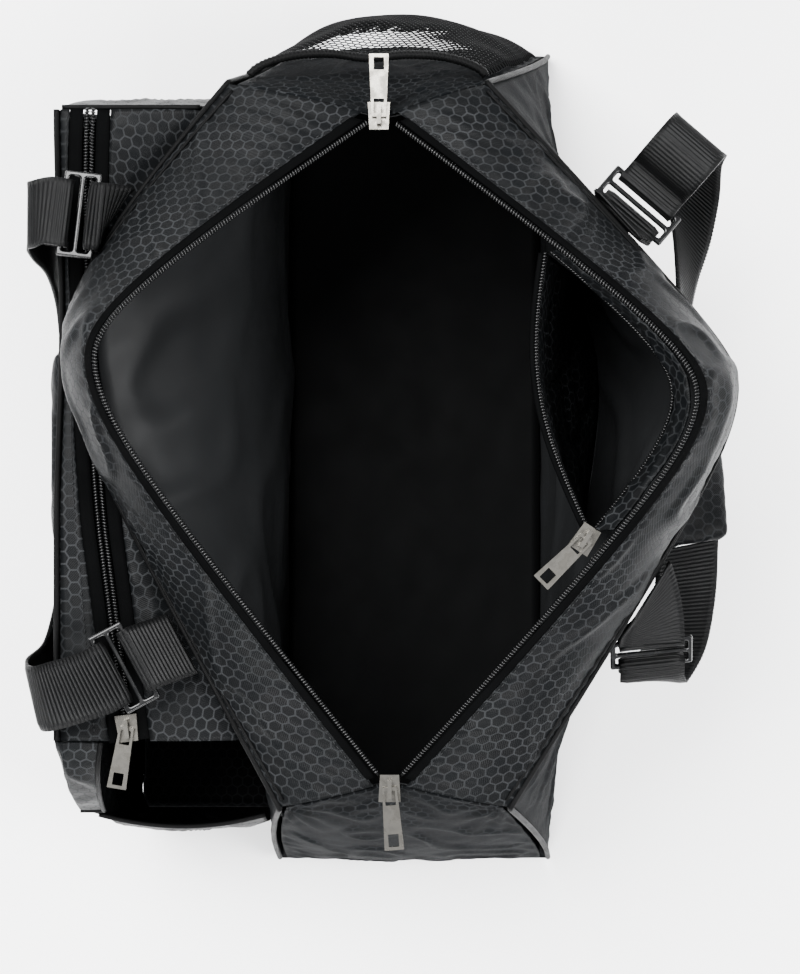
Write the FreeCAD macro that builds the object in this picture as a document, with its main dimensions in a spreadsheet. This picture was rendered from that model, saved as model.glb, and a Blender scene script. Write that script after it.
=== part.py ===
import FreeCAD, Part
import math
import os

import Sketcher

# Racket backpack: a duffle-shaped main bag, unzipped and spread, with a racket
# compartment on its left side, a mesh pocket on its far end and two straps.
# Millimetres. X runs to the right, Y to the far end, Z up from the ground.
# Soft panels are thin closed sheets; hardware is padded from sketches.

BODY_SIZES = {
    "base_half_width": 76,
    "base_half_length": 228,
    "base_thickness": 3,
    "board_thickness": 3,
    "board_inset": 8,
    "base_round": 6,
    "wall_height": 193,
    "cloth": 1.6,
    "lining": 0.8,
    "clearance": 0.4,
    "seam_inset": 1.9,
    "piping_radius": 1.4,
    "panel_bulge": 7,
    "end_wall_bulge": 9,
    "lining_gap": 4.0,
}

# Plan of the spread mouth (inner zip edge) and of the outer seam, per side.
MOUTH_SIZES = {
    "mouth_rise": 57,
    "mouth_end_lift": 6,
    "mouth_far_along": 162,
    "mouth_near_along": 160,
    "mouth_far_shift": 17,
    "mouth_near_shift": 13,
    "mouth_split": 3.6,
    "mouth_left_out": 149,
    "mouth_left_along": 42,
    "mouth_right_out": 129,
    "mouth_right_along": 25,
    "seam_left_out": 169,
    "seam_left_along": 50,
    "seam_left_far_out": 91,
    "seam_left_near_out": 66,
    "seam_right_out": 154,
    "seam_right_along": 32,
    "seam_right_far_out": 34,
    "seam_right_near_out": 45,
    "seam_far_along": 178,
    "seam_near_along": 172,
    "seam_left_round": 0.4,
    "seam_right_round": 0.12,
    "mouth_left_round": 0.25,
    "mouth_right_round": 0.2,
    "round_near": 0.17,
}

RACKET_SIZES = {
    "racket_base_width": 77,
    "racket_top_out": 174,
    "racket_far_base": 195,
    "racket_far_top": 168,
    "racket_near_base": 200,
    "racket_near_rim": 186,
    "racket_near_top": 156,
    "racket_rim_height": 118,
    "racket_top_height": 188,
    "racket_dip": 17,
    "racket_wall_bulge": 5,
    "racket_zip_far_out": 158,
    "racket_zip_mid_out": 160,
    "racket_zip_near_out": 139,
    "racket_zip_bend_out": 152,
    "racket_zip_bend_along": 40,
    "racket_zip_near_along": 140,
    "racket_tape_width": 6,
}

ZIP_SIZES = {
    "coil_width": 2.8,
    "coil_height": 2.4,
    "tape_thickness": 0.8,
    "slider_length": 13,
    "slider_width": 10.6,
    "slider_plate": 1.2,
    "slider_inner_width": 7.2,
    "slider_inner_height": 0.9,
    "crown_length": 9,
    "crown_width": 2,
    "crown_height": 4.6,
    "crown_hole_length": 5.4,
    "crown_hole_height": 3,
    "puller_length": 30,
    "puller_width": 7,
    "puller_end_width": 9.4,
    "puller_thickness": 1.8,
    "puller_bar": 1.6,
    "puller_window_width": 5,
    "puller_window_length": 7,
    "puller_tail_length": 6,
    "puller_edge": 0.4,
}

POCKET_SIZES = {
    "mesh_low": 22,
    "mesh_high": 176,
    "mesh_depth_low": 10,
    "mesh_depth_high": 30,
    "mesh_thickness": 1,
    "mesh_binding_radius": 2,
    "inner_depth": 92,
    "inner_bow": 34,
}

STRAP_SIZES = {
    "webbing_width": 32,
    "webbing_thickness": 1.6,
    "pad_width": 46,
    "pad_thickness": 9,
    "slide_length": 41,
    "slide_width": 18,
    "slide_wire": 2.6,
    "slide_bar": 2.4,
    "slide_round": 1.1,
}

# Strap slides: out from the same references, along, up, the long axis'
# direction in plan, the pitch in degrees below level and where the tab is sewn.
SLIDE_PLACES = {
    "left_far": (-12.7, 0.496, 9, 0.12, 0.99, 0, 0.490),
    "left_near": (-34.4, -0.452, 11, 0.47, -0.88, 0, -0.398),
    "right_far": (-46, 0.526, -10, 0.76, -0.65, 12, 0.492),
    "right_near": (-37, -0.435, -34, 0.98, 0.1, 40, -0.285),
}

# Strap runs, as offsets: out from the racket top edge (left) or the seam's
# widest point (right), along as a share of the base half length, up from the
# wall height, then the direction across the webbing there.
STRAP_RUNS = {
    "left_far": (
        (9, 0.498, 9, 0, 1, 0),
        (13, 0.496, 1, 0, 1, -0.05),
        (12.5, 0.480, -15, 0, 0.97, -0.2),
        (8.6, 0.445, -38, 0, 0.86, -0.5),
        (7.6, 0.370, -66, 0, 0.6, -0.8),
        (8.4, 0.2575, -89, 0, 0.25, -0.97),
    ),
    "left_pad": (
        (13, 0.255, -89, 0, -0.25, 0.97),
        (13, 0.080, -100, 0, -0.05, 1),
        (13, -0.060, -100, 0, 0.05, 1),
        (13, -0.235, -89, 0, 0.25, 0.97),
    ),
    "left_near": (
        (-6, -0.505, 11, -0.38, 0.92, 0),
        (7, -0.520, 5, -0.2, 0.96, 0.1),
        (12, -0.510, -10, -0.2, 0.96, 0.1),
        (9, -0.470, -36, -0.05, 0.86, 0.5),
        (8, -0.360, -66, 0, 0.6, 0.8),
        (8.4, -0.2375, -89, 0, 0.25, 0.97),
    ),
    "right_far": (
        (-27, 0.615, -12, 0.76, -0.65, 0),
        (-17, 0.640, -22, 0.76, -0.65, 0),
        (-15, 0.600, -38, 0.76, -0.65, 0),
        (-16, 0.520, -48, 0.7, -0.6, -0.3),
        (-16, 0.420, -64, 0.45, -0.5, -0.75),
        (-15, 0.3025, -83, 0.25, -0.2, -0.95),
    ),
    "right_pad": (
        (-11, 0.300, -84, 0.25, -0.2, -0.95),
        (-8, 0.140, -84, 0.5, 0, -0.87),
        (-10, -0.040, -76, 0.85, 0.1, -0.5),
        (-14, -0.205, -67, 0.98, 0.18, -0.1),
    ),
    "right_near": (
        (-32, -0.490, -52, 0.98, -0.17, 0),
        (-22, -0.430, -62, 0.99, 0, 0.1),
        (-16, -0.320, -68, 0.98, 0.1, 0),
        (-14, -0.208, -70, 0.98, 0.18, -0.1),
    ),
}

ALL_SIZES = (BODY_SIZES, MOUTH_SIZES, RACKET_SIZES, ZIP_SIZES, POCKET_SIZES, STRAP_SIZES)
RUN_FIELDS = ("out", "along", "up", "across_x", "across_y", "across_z")
PLACE_FIELDS = ("out", "along", "up", "across_x", "across_y", "pitch", "root")
UP = FreeCAD.Vector(0, 0, 1)
COLUMNS = 19
TIGHT = 1e-6


def fill_sheet(doc):
    """Put every size into the spreadsheet as plain text with its alias."""
    sheet = doc.addObject("Spreadsheet::Sheet", "Sizes")
    row = 1
    for table in ALL_SIZES:
        for alias, value in table.items():
            write_cell(sheet, row, alias, value)
            row += 1
    for run, points in STRAP_RUNS.items():
        for index, point in enumerate(points):
            for field, value in zip(RUN_FIELDS, point):
                write_cell(sheet, row, run_alias(run, index, field), value)
                row += 1
    for place, values in SLIDE_PLACES.items():
        for field, value in zip(PLACE_FIELDS, values):
            write_cell(sheet, row, place_alias(place, field), value)
            row += 1
    doc.recompute()
    return sheet


def write_cell(sheet, row, alias, value):
    sheet.set("A%d" % row, alias)
    sheet.set("B%d" % row, str(value))
    sheet.setAlias("B%d" % row, alias)


def run_alias(run, index, field):
    return "%s_point%d_%s" % (run, index, field)


def place_alias(place, field):
    return "slide_%s_%s" % (place, field)


class Sizes:
    """The spreadsheet's values, read by alias."""

    def __init__(self, sheet):
        self.sheet = sheet

    def __getattr__(self, alias):
        return float(self.sheet.get(alias))

    def run(self, name):
        count = len(STRAP_RUNS[name])
        return [
            [getattr(self, run_alias(name, index, field)) for field in RUN_FIELDS]
            for index in range(count)
        ]

    def place(self, name):
        return [getattr(self, place_alias(name, field)) for field in PLACE_FIELDS]


# ---------------------------------------------------------------- curves


def tent(share, rounding):
    """Height of a rounded tent: 1 at the middle, 0 at share -1 and 1."""
    top = math.hypot(1, rounding)
    return (top - math.hypot(share, rounding)) / (top - rounding)


class Side:
    """One long side of the main bag: its base edge, seam and mouth edge."""

    def __init__(self, sizes, name, sign):
        self.sizes = sizes
        self.sign = sign
        self.far = getattr(sizes, "seam_%s_far_out" % name)
        self.near = getattr(sizes, "seam_%s_near_out" % name)
        self.seam_out = getattr(sizes, "seam_%s_out" % name)
        self.seam_along = getattr(sizes, "seam_%s_along" % name)
        self.mouth_out = getattr(sizes, "mouth_%s_out" % name)
        self.mouth_along = getattr(sizes, "mouth_%s_along" % name)
        self.seam_round = getattr(sizes, "seam_%s_round" % name)
        self.mouth_round = getattr(sizes, "mouth_%s_round" % name)
        self.flare = LEFT_FLARE if sign < 0 else RIGHT_FLARE

    def spread(self, share, middle, far, near, rounding):
        """Place along Y and rounded-tent value at a share of the length."""
        sizes = self.sizes
        if share < APEX_SHARE:
            local = 1 - share / APEX_SHARE
            return middle + local * (far - middle), tent(local, rounding)
        local = (share - APEX_SHARE) / (1 - APEX_SHARE)
        return middle - local * (middle + near), tent(local, sizes.round_near)

    def base(self, share):
        sizes = self.sizes
        along = sizes.base_half_length * (1 - 2 * share)
        return FreeCAD.Vector(self.sign * sizes.base_half_width, along, sizes.base_thickness)

    def seam(self, share):
        sizes = self.sizes
        far, near = sizes.seam_far_along, sizes.seam_near_along
        along, value = self.spread(share, self.seam_along, far, near, self.seam_round)
        end = self.far if share < APEX_SHARE else self.near
        out = end + (self.seam_out - end) * value
        return FreeCAD.Vector(self.sign * out, along, sizes.wall_height)

    def mouth(self, share):
        sizes = self.sizes
        far, near = sizes.mouth_far_along, sizes.mouth_near_along
        along, value = self.spread(share, self.mouth_along, far, near, self.mouth_round)
        shift = sizes.mouth_far_shift if share < APEX_SHARE else sizes.mouth_near_shift
        end = -shift + self.sign * sizes.mouth_split
        out = end + (self.sign * self.mouth_out - end) * value
        rise = sizes.mouth_end_lift + (sizes.mouth_rise - sizes.mouth_end_lift) * value
        return FreeCAD.Vector(out, along, sizes.wall_height + rise)

    def wall(self, share, level):
        """Outer face of the side wall; level 0 at the base, 1 at the seam."""
        low, high = self.base(share), self.seam(share)
        out = low.x + (high.x - low.x) * level ** self.flare
        along = low.y + (high.y - low.y) * level
        return FreeCAD.Vector(out, along, low.z + (high.z - low.z) * level)

    def panel(self, share, level):
        """Outer face of the top panel; level 0 at the seam, 1 at the mouth."""
        low, high = self.seam(share), self.mouth(share)
        bulge = self.sizes.panel_bulge * 4 * level * (1 - level)
        lean = 1 - abs(2 * share - 1)
        outward = FreeCAD.Vector(self.sign * lean, 0, 1 - lean / 2).normalize()
        return low + (high - low) * level + outward * bulge

    def share_at(self, along, level):
        """Share of the length where the wall stands at a place along Y."""
        low, high = 0.0, 1.0
        for _ in range(BISECTIONS):
            middle = (low + high) / 2
            if self.wall(middle, level).y > along:
                low = middle
            else:
                high = middle
        return low


APEX_SHARE = 0.4
LEFT_FLARE = 2.6
RIGHT_FLARE = 1.4
BISECTIONS = 30


def steps(first, last, count):
    return [first + (last - first) * index / (count - 1) for index in range(count)]


# ---------------------------------------------------------------- thin sheets


def normals_of(grid):
    """Unit normals of a grid of points, from its neighbours."""
    rows, columns = len(grid), len(grid[0])
    result = []
    for i in range(rows):
        line = []
        for j in range(columns):
            along = grid[min(i + 1, rows - 1)][j] - grid[max(i - 1, 0)][j]
            across = grid[i][min(j + 1, columns - 1)] - grid[i][max(j - 1, 0)]
            line.append(along.cross(across).normalize())
        result.append(line)
    return result


def offset_grid(grid, distance):
    """The grid moved along its normals."""
    normals = normals_of(grid)
    return [
        [point + normal * distance for point, normal in zip(line, across)]
        for line, across in zip(grid, normals)
    ]


def face_through(grid):
    surface = Part.BSplineSurface()
    surface.interpolate(grid)
    return surface.toShape()


def sheet_between(outer, inner):
    """Closed thin solid between two grids with the same layout."""
    front = face_through(outer)
    back = face_through(inner)
    faces = [front, back]
    for first, second in zip(front.Edges, back.Edges):
        faces.append(Part.makeRuledSurface(first, second))
    shell = Part.makeShell(faces)
    shell.sewShape()
    solid = Part.makeSolid(shell)
    if solid.Volume < 0:
        solid.reverse()
    return solid


def sheet_solid(grid, thickness):
    """Thin solid from an outer grid, thickened against its normals."""
    return sheet_between(grid, offset_grid(grid, -thickness))


def add_sheet(doc, label, grid, thickness):
    return add_shape(doc, label, sheet_solid(grid, thickness))


def add_shape(doc, label, shape):
    feature = doc.addObject("Part::Feature", label)
    feature.Label = label
    feature.Shape = shape
    feature.Placement = FreeCAD.Placement()
    return feature


def bead_ring(centre, direction, reference, radius):
    """Polygon of a bead's section, square to its direction."""
    side = direction.cross(reference).normalize()
    lift = side.cross(direction).normalize()
    corners = []
    for index in range(BEAD_SIDES):
        angle = 2 * math.pi * index / BEAD_SIDES
        corners.append(centre + (side * math.cos(angle) + lift * math.sin(angle)) * radius)
    return Part.makePolygon(corners + corners[:1])


def add_bead(doc, label, points, radius, reference=FreeCAD.Vector(1, 0, 0)):
    """Bead of polygonal section through points; reference is never along it."""
    rings = []
    for index, point in enumerate(points):
        before = points[max(index - 1, 0)]
        after = points[min(index + 1, len(points) - 1)]
        direction = (after - before).normalize()
        rings.append(bead_ring(point, direction, reference, radius))
    return add_shape(doc, label, Part.makeLoft(rings, True, True))


BEAD_SIDES = 8


# ---------------------------------------------------------------- main bag


def oriented(grid, sign):
    """Order the columns so that the normals point out of the bag."""
    return grid if sign > 0 else [list(reversed(line)) for line in grid]


def wall_grid(side, shares, levels):
    grid = [[side.wall(share, level) for level in levels] for share in shares]
    return oriented(flip(grid), side.sign)


def panel_grid(side, low, high):
    inset = 0.004
    grid = [
        [side.panel(share, level) for level in steps(low, high, 5)]
        for share in steps(inset, 1 - inset, COLUMNS)
    ]
    return oriented([list(reversed(line)) for line in grid], side.sign)


def end_top(sides, share, drop):
    """Top edge of an end wall, under the ends of both top panels."""
    left, right = sides
    points = [left.panel(share, level) for level in END_LEVELS]
    points.append((left.mouth(share) + right.mouth(share)) / 2)
    points += [right.panel(share, level) for level in reversed(END_LEVELS)]
    return [FreeCAD.Vector(point.x, point.y, point.z - drop) for point in points]


def end_row(sizes, sides, share, level, drop, shrink):
    """One row of an end wall, from its left corner line to its right one."""
    left, right = [side.wall(share, level) for side in sides]
    left_top, right_top = [side.wall(share, 1) for side in sides]
    sign = 1 if share < APEX_SHARE else -1
    width = right.x - left.x
    row = []
    for point in end_top(sides, share, drop):
        place = (point.x - left_top.x) / (right_top.x - left_top.x)
        inset = (sizes.seam_inset + shrink) / width
        place = inset + place * (1 - 2 * inset)
        spot = left + (right - left) * place
        rise = left_top + (right_top - left_top) * place
        bow = (point - rise) * level ** 3
        bulge = sizes.end_wall_bulge * 4 * level * (1 - level) * 4 * place * (1 - place)
        row.append(spot + FreeCAD.Vector(0, bow.y + sign * bulge, bow.z))
    return row


def end_grid(sizes, sides, share, shrink, first):
    """Outer face of an end wall; shrink draws its edges in."""
    drop = sizes.cloth + 2 * sizes.clearance + shrink
    grid = [
        end_row(sizes, sides, share, level, drop, shrink)
        for level in steps(first, 1, 7)
    ]
    if share > APEX_SHARE:
        grid = flip(grid)
    return grid


END_LEVELS = (0.05, 0.35, 0.7)


def build_main_bag(doc, sizes, sides):
    """Walls, top panels, linings and piping of the main bag."""
    nodes = []
    inset = 0.006
    for name, side in zip(("left", "right"), sides):
        low = sizes.clearance / sizes.wall_height
        high = 1 - sizes.seam_inset / sizes.wall_height
        wall = wall_grid(side, steps(inset, 1 - inset, COLUMNS), steps(low, high, 9))
        nodes.append(add_sheet(doc, "side_wall_" + name, wall, sizes.cloth))
        gap = sizes.seam_inset / sizes.mouth_rise
        panel = panel_grid(side, gap, 1 - 3 * gap)
        nodes.append(add_sheet(doc, "top_panel_" + name, panel, sizes.cloth))
        shares = steps(LINING_END, 1 - LINING_END, COLUMNS)
        lining = wall_grid(side, shares, steps(LINING_FOOT, LINING_TOP, 9))
        inner = offset_grid(lining, -sizes.lining_gap)
        nodes.append(add_sheet(doc, "lining_" + name, inner, sizes.lining))
        nodes.append(add_bead(doc, "piping_" + name, piping_points(side), sizes.piping_radius))
    for name, share in (("far", 0.0), ("near", 1.0)):
        foot = 3 * sizes.clearance / sizes.wall_height
        grid = end_grid(sizes, sides, share, 0, foot)
        nodes.append(add_sheet(doc, "end_wall_" + name, grid, sizes.cloth))
        narrow = end_grid(sizes, sides, share, LINING_SHRINK, LINING_FOOT)
        inner = offset_grid(narrow, -sizes.lining_gap)
        nodes.append(add_sheet(doc, "lining_" + name, inner, sizes.lining))
    return nodes


LINING_END = 0.03
LINING_FOOT = 0.028
LINING_TOP = 0.96
LINING_SHRINK = 10


def piping_points(side):
    """Up the far corner, along the seam and down the near corner."""
    points = [side.wall(0, level) for level in PIPING_RISE]
    points += [side.seam(share) for share in steps(0, 1, 25)]
    points += [side.wall(1, level) for level in reversed(PIPING_RISE)]
    return points


PIPING_RISE = (0.02, 0.2, 0.4, 0.6, 0.8, 0.93)


# ---------------------------------------------------------------- zips


def strip_grid(edge, across, near, far, lift):
    """Grid of a strip beside an edge line: near and far offsets across it."""
    return [
        [point + direction * near + UP * lift, point + direction * far + UP * lift]
        for point, direction in zip(edge, across)
    ]


def block_along(edge, across, first, last, low, high):
    """Bar of rectangular section along an edge line."""
    top = strip_grid(edge, across, first, last, high)
    bottom = strip_grid(edge, across, first, last, low)
    return sheet_between(top, bottom)


def level_across(points, sign):
    """Level directions square to a line of points."""
    result = []
    for index in range(len(points)):
        before = points[max(index - 1, 0)]
        after = points[min(index + 1, len(points) - 1)]
        run = after - before
        result.append(FreeCAD.Vector(run.y, -run.x, 0).normalize() * sign)
    return result


def build_main_zip(doc, sizes, sides):
    """Tape and coil along each edge of the open mouth."""
    nodes = []
    for name, side in zip(("left", "right"), sides):
        shares = steps(0.012, 0.988, COLUMNS + 6)
        edge = [side.mouth(share) for share in shares]
        tape = [
            [side.panel(share, level) for level in (0.925, 0.96, 0.995)]
            for share in shares
        ]
        grid = oriented([list(reversed(line)) for line in tape], side.sign)
        nodes.append(add_sheet(doc, "main_tape_" + name, grid, sizes.tape_thickness))
        inward = [toward_middle(way, side.sign) for way in level_across(edge, 1)]
        first = sizes.clearance
        last = first + sizes.coil_width
        half = sizes.coil_height / 2
        coil = block_along(edge, inward, first, last, -half, half)
        nodes.append(add_shape(doc, "main_coil_" + name, coil))
    return nodes


def toward_middle(direction, sign):
    return direction if direction.x * sign < 0 else direction * -1


# ---------------------------------------------------------------- racket compartment


def racket_zip_points(sizes, count=15):
    """Centre line of the racket zip: a bowed run, then a straight one."""
    high = sizes.racket_top_height
    bend = -sizes.racket_zip_bend_along
    far = sizes.racket_far_top - 2
    bowed = []
    for share in steps(0, 1, count - 5):
        along = far + (bend - far) * share
        dip = sizes.racket_dip * math.sin(math.pi * share) ** 2
        out = bowed_out(sizes, share)
        bowed.append(FreeCAD.Vector(-out, along, high - dip))
    near = FreeCAD.Vector(-sizes.racket_zip_near_out, -sizes.racket_zip_near_along, high)
    last = bowed[-1]
    straight = [last + (near - last) * share for share in (0.25, 0.5, 0.75, 1)]
    return bowed + straight


def bowed_out(sizes, share):
    """Distance out of the bowed run, easing into the straight run."""
    ends = sizes.racket_zip_far_out + (sizes.racket_zip_bend_out - sizes.racket_zip_far_out) * share
    rise = sizes.racket_zip_mid_out - (sizes.racket_zip_far_out + sizes.racket_zip_bend_out) / 2
    return ends + rise * math.sin(math.pi * share)


def racket_outer_grid(sizes, zip_line):
    """Outer wall and the narrow strip over the top edge, up to the zip tape."""
    base = sizes.base_half_width + 1 + sizes.racket_base_width
    grid = []
    for point in zip_line:
        share = (sizes.racket_far_top - point.y) / (sizes.racket_far_top + sizes.racket_near_top)
        foot_along = sizes.racket_far_base - share * (
            sizes.racket_far_base + sizes.racket_near_base)
        foot = FreeCAD.Vector(-base, foot_along, sizes.base_thickness + sizes.clearance)
        top = FreeCAD.Vector(-sizes.racket_top_out, point.y, point.z - EDGE_DROP)
        line = []
        for level in steps(0, 1, 5):
            bulge = sizes.racket_wall_bulge * 4 * level * (1 - level)
            line.append(foot + (top - foot) * level + FreeCAD.Vector(-bulge, 0, 0))
        tape_edge = point.x - sizes.coil_width - sizes.racket_tape_width - 3 * sizes.clearance
        start = top.x + EDGE_DROP / 2
        for place in steps(0, 1, 3):
            out = start + (tape_edge - start) * place
            line.append(FreeCAD.Vector(out, point.y, point.z - 0.8 * (1 - place)))
        grid.append(line)
    return grid


EDGE_DROP = 3


def racket_gusset_grid(sizes, side, zip_line):
    """Top gusset from the zip tape to the main bag, dipping at mid-length."""
    grid = []
    for point in zip_line:
        dip = (sizes.racket_top_height - point.z) / sizes.racket_dip
        level = GUSSET_LEVEL_END + (GUSSET_LEVEL_MIDDLE - GUSSET_LEVEL_END) * dip
        root = side.wall(side.share_at(point.y, level), level)
        root = FreeCAD.Vector(root.x - sizes.cloth - sizes.clearance, point.y, root.z)
        start = point + FreeCAD.Vector(
            sizes.coil_width + sizes.racket_tape_width + 3 * sizes.clearance, 0, 0)
        middle = (start + root) / 2
        middle.z += GUSSET_CROWN * (1 - dip)
        grid.append([root, middle, start])
    return grid


GUSSET_LEVEL_END = 0.955
GUSSET_LEVEL_MIDDLE = 0.72
GUSSET_CROWN = 2


def racket_end_far_grid(sizes, sides):
    """Far end panel between the outer wall and the main bag."""
    left = sides[0]
    base = sizes.base_half_width + 1 + sizes.racket_base_width
    grid = []
    for level in steps(0, 1, 5):
        height = sizes.base_thickness + sizes.clearance
        height += level * (sizes.racket_top_height - height - 2 * sizes.cloth)
        along = sizes.racket_far_base + level * (sizes.racket_far_top - sizes.racket_far_base)
        share = height / sizes.wall_height
        inner = left.wall(left.share_at(along, share), share).x - END_EDGE
        outer = -base - level * (sizes.racket_top_out - base) + END_EDGE
        bulge = sizes.racket_wall_bulge * 4 * level * (1 - level)
        outer -= bulge * END_FOLLOW
        grid.append([
            FreeCAD.Vector(outer + (inner - outer) * place, along + bulge, height)
            for place in steps(0, 1, 4)
        ])
    return grid


def racket_end_near_grid(sizes, sides):
    """Near end panel, closed up to the rim that rackets stand out over."""
    left = sides[0]
    base = sizes.base_half_width + 1 + sizes.racket_base_width
    low = sizes.base_thickness + sizes.clearance
    grid = []
    for level in steps(0, 1, 5):
        height = low + level * (sizes.racket_rim_height - low)
        along = -sizes.racket_near_base
        along += level * (sizes.racket_near_base - sizes.racket_near_rim)
        share = height / sizes.wall_height
        inner = left.wall(left.share_at(along, share), share).x - END_EDGE
        outer = -base - share * (sizes.racket_top_out - base) + END_EDGE
        bulge = sizes.racket_wall_bulge * 4 * level * (1 - level)
        line = []
        for place in steps(0, 1, 5):
            dip = NEAR_RIM_DIP * level * 4 * place * (1 - place)
            spout = NEAR_SPOUT * level * 4 * place * (1 - place)
            line.append(FreeCAD.Vector(
                outer + (inner - outer) * place, along - bulge - spout, height - dip))
        grid.append(line)
    return flip(grid)


def racket_flap_grid(sizes, zip_line):
    """Outer half of the unzipped near end, sloping down from the top strip."""
    top = zip_line[-1]
    start = -top.y + 0.8
    grid = []
    for level in steps(0, 1, 5):
        along = -start - level * (sizes.racket_near_rim - start - 3)
        drop = (top.z - sizes.racket_rim_height - 6) * level ** 2
        width = sizes.racket_zip_bend_out - FLAP_NARROW
        outer = -sizes.racket_top_out + 2
        inner = top.x - FLAP_TAPE - level * (top.x + width)
        grid.append([
            FreeCAD.Vector(outer + (inner - outer) * place, along, top.z - drop)
            for place in steps(0, 1, 3)
        ])
    return grid


END_EDGE = 3
END_FOLLOW = 0.8
NEAR_RIM_DIP = 6
NEAR_SPOUT = 7
FLAP_NARROW = 6
FLAP_TAPE = 14
PIPING_OFF = 1.9


def build_racket_compartment(doc, sizes, sides):
    """The long pocket for rackets on the bag's left side."""
    left = sides[0]
    zip_line = racket_zip_points(sizes)
    outer = racket_outer_grid(sizes, zip_line)
    wall = [line[:5] for line in outer]
    strip = [line[5:] for line in outer]
    gusset = racket_gusset_grid(sizes, left, zip_line)
    far_end = racket_end_far_grid(sizes, sides)
    near_end = racket_end_near_grid(sizes, sides)
    flap = racket_flap_grid(sizes, zip_line)
    nodes = [
        add_sheet(doc, "racket_outer_wall", wall, sizes.cloth),
        add_sheet(doc, "racket_top_strip", strip, sizes.cloth),
        add_sheet(doc, "racket_top_gusset", flip(gusset), sizes.cloth),
        add_sheet(doc, "racket_end_far", flip(far_end), sizes.cloth),
        add_sheet(doc, "racket_end_near", flip(near_end), sizes.cloth),
        add_sheet(doc, "racket_flap_outer", flap, sizes.cloth),
    ]
    edge = [line[5] + FreeCAD.Vector(-PIPING_OFF, 0, -0.4) for line in outer]
    nodes.append(add_bead(doc, "racket_piping", edge, sizes.piping_radius))
    nodes += build_racket_zip(doc, sizes, zip_line)
    return nodes


def build_racket_zip(doc, sizes, zip_line):
    """Both halves of the closed racket zip, tape and coil."""
    nodes = []
    across = level_across(zip_line, 1)
    half = sizes.coil_height / 2
    gap = sizes.clearance / 2
    for name, sign in (("outer", 1), ("inner", -1)):
        sideways = [direction * sign for direction in across]
        first, last = gap, gap + sizes.coil_width
        coil = block_along(zip_line, sideways, first, last, -half, half)
        nodes.append(add_shape(doc, "racket_coil_" + name, coil))
        first = last + sizes.clearance
        last = first + sizes.racket_tape_width
        low = -sizes.tape_thickness / 2
        tape = block_along(zip_line, sideways, first, last, low, -low)
        nodes.append(add_shape(doc, "racket_tape_" + name, tape))
    return nodes


# ---------------------------------------------------------------- pockets


def build_mesh_pocket(doc, sizes, sides):
    """Mesh pocket on the far end wall, with its elastic binding."""
    grid = []
    for height in steps(sizes.mesh_low, sizes.mesh_high, 6):
        level = height / sizes.wall_height
        row = end_row(sizes, sides, 0.0, level, sizes.cloth, MESH_SHRINK)
        first, last = row[0], row[-1]
        depth = sizes.mesh_depth_low
        depth += level * (sizes.mesh_depth_high - sizes.mesh_depth_low)
        line = []
        for place in steps(0, 1, 13):
            spot = first + (last - first) * place
            wall = wall_between(row, spot.x)
            out = 1 + sizes.mesh_thickness + depth * math.sin(math.pi * place) ** MESH_ROUND
            line.append(FreeCAD.Vector(spot.x, wall + out, height))
        grid.append(line)
    nodes = [add_sheet(doc, "mesh_panel", grid, sizes.mesh_thickness)]
    lift = UP * (sizes.mesh_binding_radius + sizes.clearance)
    rim = [point + lift for point in grid[-1]]
    nodes.append(add_bead(doc, "mesh_binding", rim, sizes.mesh_binding_radius, UP))
    return nodes


def wall_between(row, out):
    """Place along Y of a row of points at a distance out."""
    for before, after in zip(row, row[1:]):
        if before.x <= out <= after.x:
            share = (out - before.x) / (after.x - before.x)
            return before.y + (after.y - before.y) * share
    return row[-1].y


MESH_SHRINK = 2
MESH_ROUND = 0.6


def inner_lips(sizes, right):
    """Outer and inner edge of the open inner pocket."""
    outer, inner = [], []
    for place in steps(0, 1, 11):
        share = INNER_FIRST + (INNER_LAST - INNER_FIRST) * place
        edge = right.mouth(share)
        sideways = INNER_SIDE_FAR + (INNER_SIDE_NEAR - INNER_SIDE_FAR) * place
        drop = INNER_DROP_END + INNER_DROP * math.sin(math.pi * place)
        outer.append(edge + FreeCAD.Vector(-sideways, 0, -drop))
    for place in steps(0, 1, 11):
        chord = outer[0] + (outer[-1] - outer[0]) * place
        bow = math.sin(math.pi * place)
        inner.append(chord + FreeCAD.Vector(-sizes.inner_bow * bow * 0.35, 0, -12 * bow))
    return outer, inner


INNER_FIRST = 0.2
INNER_LAST = 0.6
INNER_SIDE_FAR = 8
INNER_SIDE_NEAR = 14
INNER_DROP_END = 14
INNER_DROP = 12


def build_inner_pocket(doc, sizes, right):
    """Zipped pocket inside the right wall: facing, panel, tapes and coils."""
    outer, inner = inner_lips(sizes, right)
    facing = []
    for place, lip in zip(steps(0, 1, 11), outer):
        share = INNER_FIRST + (INNER_LAST - INNER_FIRST) * place
        top = right.mouth(share) + FreeCAD.Vector(-4.8, 0, -2.6)
        low = lip + FreeCAD.Vector(1.5, 0, 4)
        facing.append([low, (top + low) / 2, top])
    nodes = [add_sheet(doc, "inner_facing", facing, sizes.cloth)]
    panel = []
    for place, lip in zip(steps(0, 1, 11), inner):
        lip = lip + FreeCAD.Vector(-1, 0, -9)
        foot_height = sizes.inner_depth
        level = foot_height / sizes.wall_height
        foot = right.wall(right.share_at(lip.y, level), level)
        foot = FreeCAD.Vector(foot.x - sizes.lining_gap - 3, lip.y, foot_height)
        sag = (lip + foot) / 2 + FreeCAD.Vector(-6 * math.sin(math.pi * place), 0, 0)
        panel.append([foot, sag, lip])
    nodes.append(add_sheet(doc, "inner_pocket_panel", panel, sizes.lining))
    for name, lip, sign in (("outer", outer, 1), ("inner", inner, -1)):
        across = [FreeCAD.Vector(sign, 0, 0)] * len(lip)
        half = sizes.coil_height / 2
        first = sizes.clearance / 2
        coil = block_along(lip, across, first, first + sizes.coil_width, -half, half)
        nodes.append(add_shape(doc, "inner_coil_" + name, coil))
    return nodes


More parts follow.
